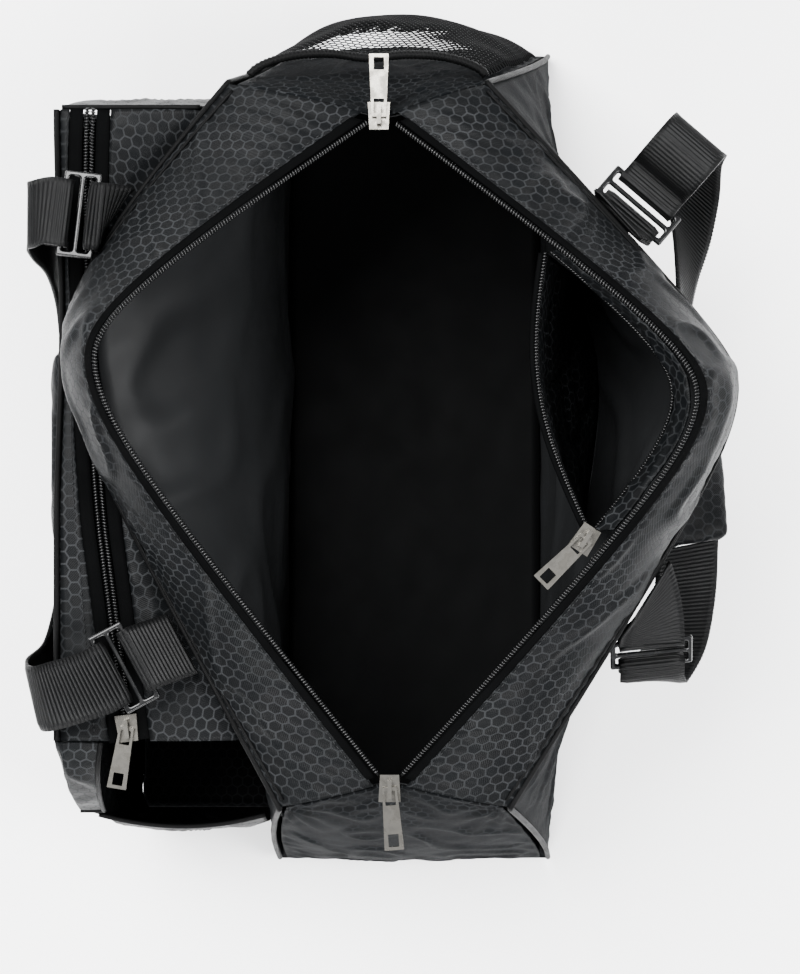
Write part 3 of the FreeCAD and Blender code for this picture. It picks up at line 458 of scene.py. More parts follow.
@dataclass(frozen=True)
class Woven(Finish):
    """Plain woven cloth, tape or webbing with fine threads."""

    threads: float = 900.0
    ribs: float = 0.0
    depth: float = 0.00015
    patch: float = 0.4

    def build(self) -> bpy.types.Material:
        """Make the material.

        Returns:
            The material.
        """
        material, graph, shader = self.start()
        plane = graph.node("ShaderNodeUVMap").outputs[0]
        weave = graph.node("ShaderNodeTexWave", plane, bands_direction="DIAGONAL")
        weave.inputs["Scale"].default_value = self.threads
        weave.inputs["Distortion"].default_value = 2.0
        cloud = graph.node("ShaderNodeTexNoise", plane)
        cloud.inputs["Scale"].default_value = 45
        cloud.inputs["Detail"].default_value = 6
        tone = graph.ramp(cloud.outputs[0], 0.3, 0.7, 0.0, self.patch)
        low = tuple(channel * 0.55 for channel in self.colour[:3]) + (1.0,)
        base = graph.blend(tone, self.colour, low)
        base = graph.blend(graph.math("MULTIPLY", weave.outputs[0], 0.25), base, low)
        graph.feed(shader.inputs["Base Color"], base)
        rough = graph.ramp(cloud.outputs[0], 0.3, 0.7, self.roughness, self.roughness + 0.12)
        graph.feed(shader.inputs["Roughness"], rough)
        height = weave.outputs[0]
        if self.ribs:
            across = graph.node("ShaderNodeTexWave", plane, bands_direction="Y")
            across.inputs["Scale"].default_value = self.ribs
            height = graph.math("ADD", height, across.outputs[0])
        bump = graph.node("ShaderNodeBump")
        bump.inputs["Strength"].default_value = 0.4
        bump.inputs["Distance"].default_value = self.depth
        graph.feed(bump.inputs["Height"], height)
        graph.feed(shader.inputs["Normal"], bump.outputs[0])
        return material


@dataclass(frozen=True)
class Worn(Finish):
    """Hard material with faint handling marks."""

    wear: float = 0.12
    scale: float = 180.0

    def build(self) -> bpy.types.Material:
        """Make the material.

        Returns:
            The material.
        """
        material, graph, shader = self.start()
        place = graph.node("ShaderNodeTexCoord").outputs["Object"]
        marks = graph.node("ShaderNodeTexNoise", place)
        marks.inputs["Scale"].default_value = self.scale
        marks.inputs["Detail"].default_value = 5
        low = tuple(channel * 0.45 for channel in self.colour[:3]) + (1.0,)
        tone = graph.ramp(marks.outputs[0], 0.42, 0.62, 0.0, 0.85)
        graph.feed(shader.inputs["Base Color"], graph.blend(tone, self.colour, low))
        rough = graph.ramp(marks.outputs[0], 0.3, 0.7, self.roughness, self.roughness + self.wear)
        graph.feed(shader.inputs["Roughness"], rough)
        bump = graph.node("ShaderNodeBump")
        bump.inputs["Strength"].default_value = 0.08
        bump.inputs["Distance"].default_value = 0.0002
        graph.feed(bump.inputs["Height"], marks.outputs[0])
        graph.feed(shader.inputs["Normal"], bump.outputs[0])
        return material


class Palette:
    """All finishes of the bag."""

    def __init__(self) -> None:
        """Build every material once."""
        hexagons = hexagon_group()
        self.hex = HexFabric("hex_jacquard", grey(0.0022, 0.3), 0.4, index=1.12,
                             outline=0.014, group=hexagons).build()
        self.hex_end = HexFabric("hex_jacquard_end", grey(0.0030, 0.3), 0.45, index=1.03,
                                 outline=0.016, group=hexagons).build()
        self.lining = Woven("lining_satin", grey(0.009, 0.1), 0.36, index=1.2).build()
        # Painted shade: a darker copy of the lining satin, for the lining on the floor deep inside
        # the bag.
        self.lining_painted_shade = Woven("lining_floor_painted_shade", grey(0.0015, 0.1), 0.5, index=1.1).build()
        self.piping = Woven("piping_tape", grey(0.001, 0.1), 0.5, index=1.14,
                            threads=1400).build()
        self.tape = Woven("zip_tape_weave", grey(0.0012, 0.1), 0.7, index=1.05,
                          threads=1500).build()
        self.webbing = Woven("webbing_weave", grey(0.0016, 0.1), 0.4, index=1.2,
                             threads=1300, depth=0.0003).build()
        self.net = Woven("net_yarn", grey(0.002, 0.1), 0.5, index=1.15, threads=1500).build()
        self.thread = Woven("stitch_thread", grey(0.008, 0.1), 0.45, index=1.2,
                            threads=2500).build()
        self.coil = Worn("coil_nylon", grey(0.0015, 0.1), 0.2, index=1.35).build()
        # Painted shade: the nickel colour is set far darker than plated nickel, standing in for dim
        # reflections of the surroundings.
        self.nickel = Worn("nickel_plate_painted_dim", (0.2, 0.19, 0.168, 1.0), 0.2, metallic=1.0).build()
        self.wire = Worn("wire_enamel", grey(0.0015, 0.1), 0.18, index=1.35).build()
        self.board = Worn("board_plastic", grey(0.004), 0.55).build()


# ---------------------------------------------------------------- cloth relief


@dataclass(frozen=True)
class Creases:
    """Dents and folds of a sewn panel, as a height in millimetres."""

    seed: float
    dent: float = 2.0
    dent_size: float = 60.0
    fold: float = 1.4
    fold_size: float = 34.0
    lean: float = 0.5
    pucker: float = 0.5
    pucker_pitch: float = 11.0
    border: float = 0.07

    def height(self, point: Vector, u: float, v: float) -> float:
        """Height of the relief.

        Args:
            point: Place on the flat panel, in millimetres.
            u: Share across the panel.
            v: Share along the panel.
        Returns:
            Distance out of the panel, in millimetres.
        """
        edge = min(u, 1 - u, v, 1 - v)
        inside = smooth(edge / self.border)
        place = point / self.dent_size + Vector((self.seed, 0, 0))
        dents = noise.noise(place) * self.dent
        turned = Vector((
            point.x + point.z * self.lean, point.y * 0.6 - point.x * self.lean, point.z))
        ridge = noise.noise(turned / self.fold_size + Vector((0, self.seed, 3.1)))
        folds = smooth(1 - abs(ridge) * 5) * self.fold
        fine = noise.noise(point / (self.fold_size * 0.35) + Vector((self.seed, 9.0, 0)))
        run = point.y + point.x * 0.4
        wave = math.sin(run / self.pucker_pitch * 2 * math.pi + 3 * noise.noise(point / 30))
        near = math.exp(-edge / (self.border * 0.6)) * smooth(edge / (self.border * 0.2))
        return inside * (dents + folds + fine * 0.45) + wave * self.pucker * near


@dataclass
class Panel:
    """A sewn sheet of cloth made from a surface over the unit square."""

    name: str
    surface: Surface
    outward: Vector
    columns: int
    rows: int
    thickness: float = 1.2
    relief: Optional[Relief] = None

    def grid(self) -> list[list[Vector]]:
        """Points of the flat panel, in millimetres.

        Returns:
            Rows of points.
        """
        return [
            [self.surface(u, v) for u in steps(0, 1, self.columns + 1)]
            for v in steps(0, 1, self.rows + 1)
        ]

    def normal_at(self, grid: list[list[Vector]], i: int, j: int) -> Vector:
        """Unit normal of the grid.

        Args:
            grid: Rows of points.
            i: Row.
            j: Column.
        Returns:
            The normal, before it is turned outward.
        """
        across = grid[i][min(j + 1, self.columns)] - grid[i][max(j - 1, 0)]
        along = grid[min(i + 1, self.rows)][j] - grid[max(i - 1, 0)][j]
        return across.cross(along).normalized()

    def build(self, material: bpy.types.Material) -> bpy.types.Object:
        """Make the panel.

        Args:
            material: Its finish.
        Returns:
            The object, thickened inward.
        """
        grid = self.grid()
        middle = self.normal_at(grid, self.rows // 2, self.columns // 2)
        turn = 1 if middle.dot(self.outward) >= 0 else -1
        bm = bmesh.new()
        bmesh.ops.create_grid(bm, x_segments=self.columns, y_segments=self.rows, size=0.5)
        layer = bm.loops.layers.uv.new("cloth")
        flat = self.flat_places(grid)
        index_of = {}
        for vertex in bm.verts:
            j = round((vertex.co.x + 0.5) * self.columns)
            i = round((vertex.co.y + 0.5) * self.rows)
            index_of[vertex] = (i, j)
        for vertex, (i, j) in index_of.items():
            point = grid[i][j]
            if self.relief:
                rise = self.relief(point, j / self.columns, i / self.rows)
                point = point + self.normal_at(grid, i, j) * (turn * rise)
            vertex.co = point * MM
        for face in bm.faces:
            for loop in face.loops:
                i, j = index_of[loop.vert]
                loop[layer].uv = flat[i][j]
        if turn < 0:
            bmesh.ops.reverse_faces(bm, faces=bm.faces[:])
        piece = finish_piece(bm, self.name, material)
        solid = piece.modifiers.new("cloth", "SOLIDIFY")
        solid.thickness = self.thickness * MM
        solid.offset = -1
        return piece

    def flat_places(self, grid: list[list[Vector]]) -> list[list[tuple[float, float]]]:
        """Places on the flat cloth, in metres, measured from the middle lines.

        Args:
            grid: Rows of points.
        Returns:
            Rows of flat places.
        """
        across = [[0.0] * (self.columns + 1) for _ in grid]
        along = [[0.0] * (self.columns + 1) for _ in grid]
        for i in range(self.rows + 1):
            for j in range(1, self.columns + 1):
                across[i][j] = across[i][j - 1] + (grid[i][j] - grid[i][j - 1]).length
        for j in range(self.columns + 1):
            for i in range(1, self.rows + 1):
                along[i][j] = along[i - 1][j] + (grid[i][j] - grid[i - 1][j]).length
        mid_row, mid_column = self.rows // 2, self.columns // 2
        return [
            [
                ((across[i][j] - across[i][mid_column]) * MM,
                 (along[i][j] - along[mid_row][j]) * MM)
                for j in range(self.columns + 1)
            ]
            for i in range(self.rows + 1)
        ]

    def cut_size(self) -> tuple[float, float, float]:
        """Size of the flat cut.

        Returns:
            Width, length and area, in metres.
        """
        grid = self.grid()
        flat = self.flat_places(grid)
        width = max(line[-1][0] - line[0][0] for line in flat)
        length = max(flat[-1][j][1] - flat[0][j][1] for j in range(self.columns + 1))
        area = 0.0
        for above, below in zip(grid, grid[1:]):
            for j in range(self.columns):
                first = above[j + 1] - above[j]
                second = below[j] - above[j]
                third = below[j + 1] - above[j + 1]
                area += first.cross(second).length / 2 + first.cross(third).length / 2
        area *= MM * MM
        return width, length, min(max(area, 0.3 * width * length), width * length)


def add_panel(panel: Panel, material: bpy.types.Material, body: Body, slot: Slot,
              nodes: Sequence[str]) -> bpy.types.Object:
    """Args:
        panel: The panel.
        material: Its finish.
        body: The body it rides on.
        slot: Its material slot.
        nodes: Nodes that it stands for.
    Returns:
        The object.
    """
    piece = place_piece(panel.build(material), body, slot, *nodes)
    width, length, area = panel.cut_size()
    LOG.info("%s cut %.0f x %.0f mm", panel.name, width / MM, length / MM)
    return piece


# ---------------------------------------------------------------- beads, ribbons, teeth


def add_tube(name: str, points: Sequence[Vector], radius: float, material: bpy.types.Material,
             sides: int = 10, swell: Optional[Callable[[float], float]] = None) -> bpy.types.Object:
    """Closed round bead along a line.

    Args:
        name: Name of the piece.
        points: The line, in millimetres.
        radius: Radius, in millimetres.
        material: Its finish.
        sides: Corners of the section.
        swell: Scale of the radius at a share of the length.
    Returns:
        The object.
    """
    bm = bmesh.new()
    layer = bm.loops.layers.uv.new("cloth")
    rings = []
    places = {}
    gone = 0.0
    ways = ways_along(points)
    side = ways[0].orthogonal().normalized()
    for index, (point, way) in enumerate(zip(points, ways)):
        side = (side - way * side.dot(way)).normalized()
        lift = way.cross(side)
        size = radius * (swell(index / (len(points) - 1)) if swell else 1.0)
        ring = []
        for corner in range(sides):
            angle = 2 * math.pi * corner / sides
            place = point + (side * math.cos(angle) + lift * math.sin(angle)) * size
            vertex = bm.verts.new(place * MM)
            places[vertex] = (angle * radius * MM, gone * MM)
            ring.append(vertex)
        rings.append(ring)
        if index + 1 < len(points):
            gone += (points[index + 1] - point).length
    for first, second in zip(rings, rings[1:]):
        for corner in range(sides):
            after = (corner + 1) % sides
            bm.faces.new((first[corner], first[after], second[after], second[corner]))
    bm.faces.new(list(reversed(rings[0])))
    bm.faces.new(rings[-1])
    for face in bm.faces:
        for loop in face.loops:
            loop[layer].uv = places[loop.vert]
    return finish_piece(bm, name, material)


def add_shapes(name: str, spots: Sequence[Matrix], size: Vector,
               material: bpy.types.Material, segments: int = 8, rings: int = 5) -> bpy.types.Object:
    """Many small rounded shapes in one mesh.

    Args:
        name: Name of the piece.
        spots: Place and turn of each shape, in millimetres.
        size: Full size of a shape, in millimetres.
        material: Their finish.
        segments: Corners round each shape.
        rings: Rings along each shape.
    Returns:
        The object.
    """
    bm = bmesh.new()
    scale = Matrix.Diagonal((size.x, size.y, size.z, 1))
    to_metres = Matrix.Scale(MM, 4)
    for spot in spots:
        bmesh.ops.create_uvsphere(
            bm, u_segments=segments, v_segments=rings, radius=0.5,
            matrix=to_metres @ spot @ scale)
    return finish_piece(bm, name, material)


def frame_at(point: Vector, way: Vector, lift: Vector) -> Matrix:
    """Turn and place with X along a way and Z near a lift.

    Args:
        point: The place.
        way: Direction of X.
        lift: Rough direction of Z.
    Returns:
        The matrix.
    """
    x = way.normalized()
    y = lift.cross(x).normalized()
    z = x.cross(y)
    turn = Matrix((x, y, z)).transposed().to_4x4()
    return Matrix.Translation(point) @ turn


def add_stitches(name: str, line: Sequence[Vector], lift: Vector, body: Body,
                 palette: Palette, pitch: float = 3.0) -> bpy.types.Object:
    """A row of stitches.

    Args:
        name: Name of the piece.
        line: The sewn line, in millimetres.
        lift: Direction out of the cloth.
        body: The body it rides on.
        palette: The finishes.
        pitch: Stitch pitch, in millimetres.
    Returns:
        The object.
    """
    points = spaced(line, pitch)
    spots = [
        frame_at((a + b) / 2, b - a, lift) for a, b in zip(points, points[1:])
    ]
    piece = add_shapes(name, spots, Vector((pitch * 0.72, 0.55, 0.42)), palette.thread, 6, 4)
    return place_piece(piece, body, Slot.PIPING)


def add_teeth(name: str, edge: Sequence[Vector], across: Sequence[Vector], offset: float,
              palette: Palette, body: Body, node: str) -> bpy.types.Object:
    """Coil of a zip half: one looped tooth every pitch along its edge.

    Args:
        name: Name of the piece.
        edge: Line of the tape edge, in millimetres.
        across: Directions from the tape to the teeth.
        offset: Distance from the edge to the middle of the teeth.
        palette: The finishes.
        body: The body it rides on.
        node: Node that it stands for.
    Returns:
        The object.
    """
    fine, sideways = [], []
    for index in range(len(edge) - 1):
        for share in (0.0, 0.25, 0.5, 0.75):
            fine.append(edge[index].lerp(edge[index + 1], share))
            sideways.append(across[index].lerp(across[index + 1], share))
    fine.append(edge[-1])
    sideways.append(across[-1])
    middle = [point + way * offset for point, way in zip(fine, sideways)]
    points = spaced(middle, TOOTH_PITCH)
    spots = []
    place = 0
    for before, after in zip(points, points[1:]):
        while place + 1 < len(middle) and (middle[place + 1] - before).length < (
                middle[place] - before).length:
            place += 1
        way = sideways[place].normalized()
        slant = (way + (after - before).normalized() * 0.22).normalized()
        lift = slant.cross(after - before).normalized()
        lift = lift if lift.z > 0 else lift * -1
        spots.append(frame_at(before, slant, lift))
    piece = add_shapes(name, spots, Vector((3.0, 1.12, 2.3)), palette.coil, 8, 6)
    place_piece(piece, body, Slot.COIL, node)
    core = add_tube(name + "_core", [p - UP * 0.2 for p in middle], 0.75, palette.piping, 6)
    place_piece(core, body, Slot.COIL)
    return piece


TOOTH_PITCH = 1.5
TAB_ROOT_OUT = 3.5
TAB_ROOT_SPLIT = 1.9
SEAM_INSET_SHARE = 0.002


# ---------------------------------------------------------------- the bag's form


@dataclass(frozen=True)
class SideForm:
    """One long side of the bag: base edge, seam and mouth edge."""

    sign: int
    flare: float
    seam_out: float
    seam_along: float
    seam_far: float
    seam_near: float
    seam_round: float
    mouth_out: float
    mouth_along: float
    mouth_round: float
    base_width: float = 76
    base_length: float = 228
    base_height: float = 3
    height: float = 193
    seam_far_along: float = 178
    seam_near_along: float = 172
    mouth_far_along: float = 162
    mouth_near_along: float = 160
    mouth_far_shift: float = 17
    mouth_near_shift: float = 13
    split: float = 3.6
    rise: float = 57
    end_lift: float = 6
    bulge: float = 7
    round_near: float = 0.17
    apex: float = 0.4

    def spread(self, share: float, middle: float, far: float, near: float,
               rounding: float) -> tuple[float, float]:
        """Place along Y and tent height.

        Args:
            share: Share of the length, from the far end.
            middle: Place of the peak.
            far: Far end.
            near: Near end.
            rounding: Roundness of the far part.
        Returns:
            Place and height.
        """
        if share < self.apex:
            local = 1 - share / self.apex
            return middle + local * (far - middle), tent(local, rounding)
        local = (share - self.apex) / (1 - self.apex)
        return middle - local * (middle + near), tent(local, self.round_near)

    def base(self, share: float) -> Vector:
        """Base edge.

        Args:
            share: Share of the length.
        Returns:
            The point.
        """
        along = self.base_length * (1 - 2 * share)
        return Vector((self.sign * self.base_width, along, self.base_height))

    def seam(self, share: float) -> Vector:
        """Seam between wall and top panel.

        Args:
            share: Share of the length.
        Returns:
            The point.
        """
        along, value = self.spread(
            share, self.seam_along, self.seam_far_along, self.seam_near_along, self.seam_round)
        end = self.seam_far if share < self.apex else self.seam_near
        out = end + (self.seam_out - end) * value
        return Vector((self.sign * out, along, self.height))

    def mouth(self, share: float) -> Vector:
        """Edge of the open mouth.

        Args:
            share: Share of the length.
        Returns:
            The point.
        """
        along, value = self.spread(
            share, self.mouth_along, self.mouth_far_along, self.mouth_near_along,
            self.mouth_round)
        shift = self.mouth_far_shift if share < self.apex else self.mouth_near_shift
        end = -shift + self.sign * self.split
        out = end + (self.sign * self.mouth_out - end) * value
        lift = self.end_lift + (self.rise - self.end_lift) * value
        return Vector((out, along, self.height + lift))

    def wall(self, share: float, level: float) -> Vector:
        """Side wall.

        Args:
            share: Share of the length.
            level: 0 at the base, 1 at the seam.
        Returns:
            The point.
        """
        low, high = self.base(share), self.seam(share)
        out = low.x + (high.x - low.x) * level ** self.flare
        spot = low.lerp(high, level)
        return Vector((out, spot.y, spot.z))

    def panel(self, share: float, level: float) -> Vector:
        """Top panel.

        Args:
            share: Share of the length.
            level: 0 at the seam, 1 at the mouth.
        Returns:
            The point.
        """
        low, high = self.seam(share), self.mouth(share)
        lean = 1 - abs(2 * share - 1)
        outward = Vector((self.sign * lean, 0, 1 - lean / 2)).normalized()
        return low.lerp(high, level) + outward * (self.bulge * 4 * level * (1 - level))

    def share_at(self, along: float, level: float) -> float:
        """Share of the length at a place along Y.

        Args:
            along: The place.
            level: Level of the wall.
        Returns:
            The share.
        """
        low, high = 0.0, 1.0
        for _ in range(24):
            middle = (low + high) / 2
            if self.wall(middle, level).y > along:
                low = middle
            else:
                high = middle
        return low


LEFT = SideForm(-1, 2.6, 169, 50, 91, 66, 0.4, 149, 42, 0.25)
RIGHT = SideForm(1, 1.4, 154, 32, 34, 45, 0.12, 129, 25, 0.2)


@dataclass(frozen=True)
class EndForm:
    """An end wall between the two sides."""

    share: float
    bulge: float = 9
    cloth: float = 2.4

    def top(self, place: float) -> Vector:
        """Top edge, under the ends of both top panels.

        Args:
            place: 0 at the left corner, 1 at the right one.
        Returns:
            The point.
        """
        levels = (0.05, 0.35, 0.7)
        points = [LEFT.panel(self.share, level) for level in levels]
        points.append((LEFT.mouth(self.share) + RIGHT.mouth(self.share)) / 2)
        points += [RIGHT.panel(self.share, level) for level in reversed(levels)]
        return curve_point(points, place) - UP * self.cloth

    def point(self, place: float, level: float) -> Vector:
        """Outer face of the end wall.

        Args:
            place: 0 at the left corner, 1 at the right one.
            level: 0 at the base, 1 at the top.
        Returns:
            The point.
        """
        left, right = LEFT.wall(self.share, level), RIGHT.wall(self.share, level)
        left_top, right_top = LEFT.wall(self.share, 1), RIGHT.wall(self.share, 1)
        top = self.top(place)
        across = (top.x - left_top.x) / (right_top.x - left_top.x)
        inset = 1.0 / (right.x - left.x)
        across = inset + across * (1 - 2 * inset)
        spot = left.lerp(right, across)
        bow = (top - left_top.lerp(right_top, across)) * level ** 3
        sign = 1 if self.share < 0.5 else -1
        out = self.bulge * 16 * level * (1 - level) * across * (1 - across)
        return spot + Vector((0, bow.y + sign * out, bow.z))


FAR_END = EndForm(0.0)
NEAR_END = EndForm(1.0)


@dataclass
class MainBag:
    """Walls, top panels, end walls, linings and piping."""

    palette: Palette
    lining_gap: float = 4.0

    def build(self) -> None:
        """Make every piece of the main bag."""
        for word, side, seed in (("left", LEFT, 2.0), ("right", RIGHT, 7.5)):
            self.wall(word, side, seed)
            self.top_panel(word, side, seed)
            self.lining(word, side, seed)
            self.piping(word, side)
        for word, form, seed in (("far", FAR_END, 4.0), ("near", NEAR_END, 11.0)):
            self.end_wall(word, form, seed)
        self.floors()

    def wall(self, word: str, side: SideForm, seed: float) -> None:
        """Side wall.

        Args:
            word: left or right.
            side: Its form.
            seed: Seed of its creases.
        """
        creases = Creases(seed, dent=2.6, fold=1.8, pucker=0.7)
        panel = Panel(
            "cloth_wall_" + word,
            lambda u, v: side.wall(
                SEAM_INSET_SHARE + (1 - 2 * SEAM_INSET_SHARE) * u, 0.004 + 0.993 * v),
            Vector((side.sign, 0, 0)), 130, 60, relief=creases.height)
        add_panel(panel, self.palette.hex_end, Body.BAG, Slot.HEX, ["side_wall_" + word])

    def top_panel(self, word: str, side: SideForm, seed: float) -> None:
        """Top panel between seam and zip, with its stitch line.

        Args:
            word: left or right.
            side: Its form.
            seed: Seed of its creases.
        """
        creases = Creases(seed + 1.3, dent=1.4, dent_size=46, fold=1.8, fold_size=30,
                          pucker=0.8, pucker_pitch=9, border=0.12)
        panel = Panel(
            "cloth_top_" + word,
            lambda u, v: side.panel(
                SEAM_INSET_SHARE + (1 - 2 * SEAM_INSET_SHARE) * u, 0.012 + 0.918 * v),
            Vector((side.sign * 0.3, 0, 1)), 200, 30, relief=creases.height)
        add_panel(panel, self.palette.hex, Body.BAG, Slot.HEX, ["top_panel_" + word])
        line = [side.panel(share, 0.885) + UP * 0.5 for share in steps(0.015, 0.985, 160)]
        add_stitches("stitch_top_" + word, line, UP, Body.BAG, self.palette)

    def lining(self, word: str, side: SideForm, seed: float) -> None:
        """Lining of a side wall.

        Args:
            word: left or right.
            side: Its form.
            seed: Seed of its creases.
        """
        creases = Creases(seed + 5, dent=3.0, fold=2.6, fold_size=48, pucker=0.0)
        sign = side.sign

        def surface(u: float, v: float) -> Vector:
            spot = side.wall(0.03 + 0.94 * u, 0.028 + 0.932 * v)
            return spot - Vector((sign * (self.lining_gap + 1.2), 0, 0))

        panel = Panel("cloth_lining_" + word, surface, Vector((-sign, 0, 0)), 90, 40,
                      thickness=0.7, relief=creases.height)
        material = self.palette.lining
        add_panel(panel, material, Body.BAG, Slot.LINING, ["lining_" + word])

    def end_wall(self, word: str, form: EndForm, seed: float) -> None:
        """End wall and its lining; the near wall is gathered under its top corners.

        Args:
            word: far or near.
            form: Its form.
            seed: Seed of its creases.
        """
        sign = 1 if form.share < 0.5 else -1
        creases = Creases(seed, dent=1.6, fold=1.2, pucker=0.8, pucker_pitch=8, border=0.1)

        def relief(point: Vector, u: float, v: float) -> float:
            gathered = 0.0
            if word == "near":
                for corner in (0.0, 1.0):
                    reach = math.hypot((u - corner) * 1.1, 1 - v)
                    angle = math.atan2(1 - v, abs(u - corner) + 0.02)
                    fade = smooth(1 - reach / 0.55) * smooth(reach / 0.05)
                    gathered += math.sin(angle * 22 + corner) * 0.9 * fade
            inside = smooth(min(u, 1 - u, v, 1 - v) / 0.04)
            return creases.height(point, u, v) + gathered * inside

        panel = Panel("cloth_end_" + word, lambda u, v: form.point(u, 0.006 + 0.99 * v),
                      Vector((0, sign, 0)), 110, 100, relief=relief)
        add_panel(panel, self.palette.hex_end, Body.BAG, Slot.HEX, ["end_wall_" + word])
        soft = Creases(seed + 3, dent=1.5, fold=1.5, pucker=0.0)
        lining = Panel(
            "cloth_lining_" + word,
            lambda u, v: form.point(0.06 + 0.88 * u, 0.028 + 0.93 * v) - Vector((0, sign * 5.5, 0)),
            Vector((0, -sign, 0)), 50, 40, thickness=0.7, relief=soft.height)
        add_panel(lining, self.palette.lining, Body.BAG, Slot.LINING, ["lining_" + word])

    def piping(self, word: str, side: SideForm) -> None:
        """Piping bead along the seam and down both corners, with its flange line.

        Args:
            word: left or right.
            side: Its form.
        """
        rise = (0.02, 0.2, 0.4, 0.6, 0.8, 0.93)
        line = [side.wall(0, level) for level in rise]
        line += [side.seam(share) for share in steps(0, 1, 90)]
        line += [side.wall(1, level) for level in reversed(rise)]
        piece = add_tube("piping_bead_" + word, spaced(line, 2.5), 1.5, self.palette.piping)
        place_piece(piece, Body.BAG, Slot.PIPING, "piping_" + word)
        flange = [side.panel(share, 0.075) + UP * 0.6 for share in steps(0.01, 0.99, 120)]
        bead = add_tube("piping_flange_" + word, flange, 0.8, self.palette.piping, 8)
        place_piece(bead, Body.BAG, Slot.PIPING)

    def floors(self) -> None:
        """Base cloth of both compartments and the lining on the floor, the lining in a darker copy
        as painted shade.
        """
        for node, outward, slot, material in (
                ("base_panel", -1, Slot.HEX, self.palette.hex),
                ("racket_base", -1, Slot.HEX, self.palette.hex),
                # The floor lining takes the darker lining copy: painted shade at the bottom of the
                # bag.
                ("lining_floor", 1, Slot.LINING, self.palette.lining_painted_shade)):
            low, high = (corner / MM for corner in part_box(node))
            height = low.z if outward < 0 else high.z
            creases = Creases(low.x, dent=0.35, fold=0.3, pucker=0.0)

            def surface(u: float, v: float, low=low, high=high, height=height) -> Vector:
                return Vector((low.x + (high.x - low.x) * u, low.y + (high.y - low.y) * v, height))

            def relief(point: Vector, u: float, v: float, creases=creases) -> float:
                return -abs(creases.height(point, u, v))

            panel = Panel("cloth_" + node, surface, Vector((0, 0, outward)), 30, 60,
                          thickness=max(min(high.z - low.z, 2.4), 0.5), relief=relief)
            add_panel(panel, material, Body.BAG, slot, [node])


# ---------------------------------------------------------------- zips


@dataclass
class MainZip:
    """Tape and teeth along both edges of the open mouth."""

    palette: Palette

    def build(self) -> None:
        """Make both halves."""
        for word, side in (("left", LEFT), ("right", RIGHT)):
            shares = steps(0.012, 0.988, 120)
            tape = Panel(
                "tape_main_" + word,
                lambda u, v, side=side: side.panel(0.012 + 0.976 * u, 0.915 + 0.082 * v) + UP * 0.3,
                Vector((side.sign * 0.3, 0, 1)), 160, 4, thickness=0.8)
            add_panel(tape, self.palette.tape, Body.BAG, Slot.TAPE, ["main_tape_" + word])
            edge = [side.mouth(share) for share in shares]
            across = []
            for way in ways_along(edge):
                level = Vector((way.y, -way.x, 0)).normalized()
                across.append(level if level.x * side.sign < 0 else level * -1)
            add_teeth("teeth_main_" + word, edge, across, 1.8, self.palette, Body.BAG,
                      "main_coil_" + word)


# ---------------------------------------------------------------- racket compartment


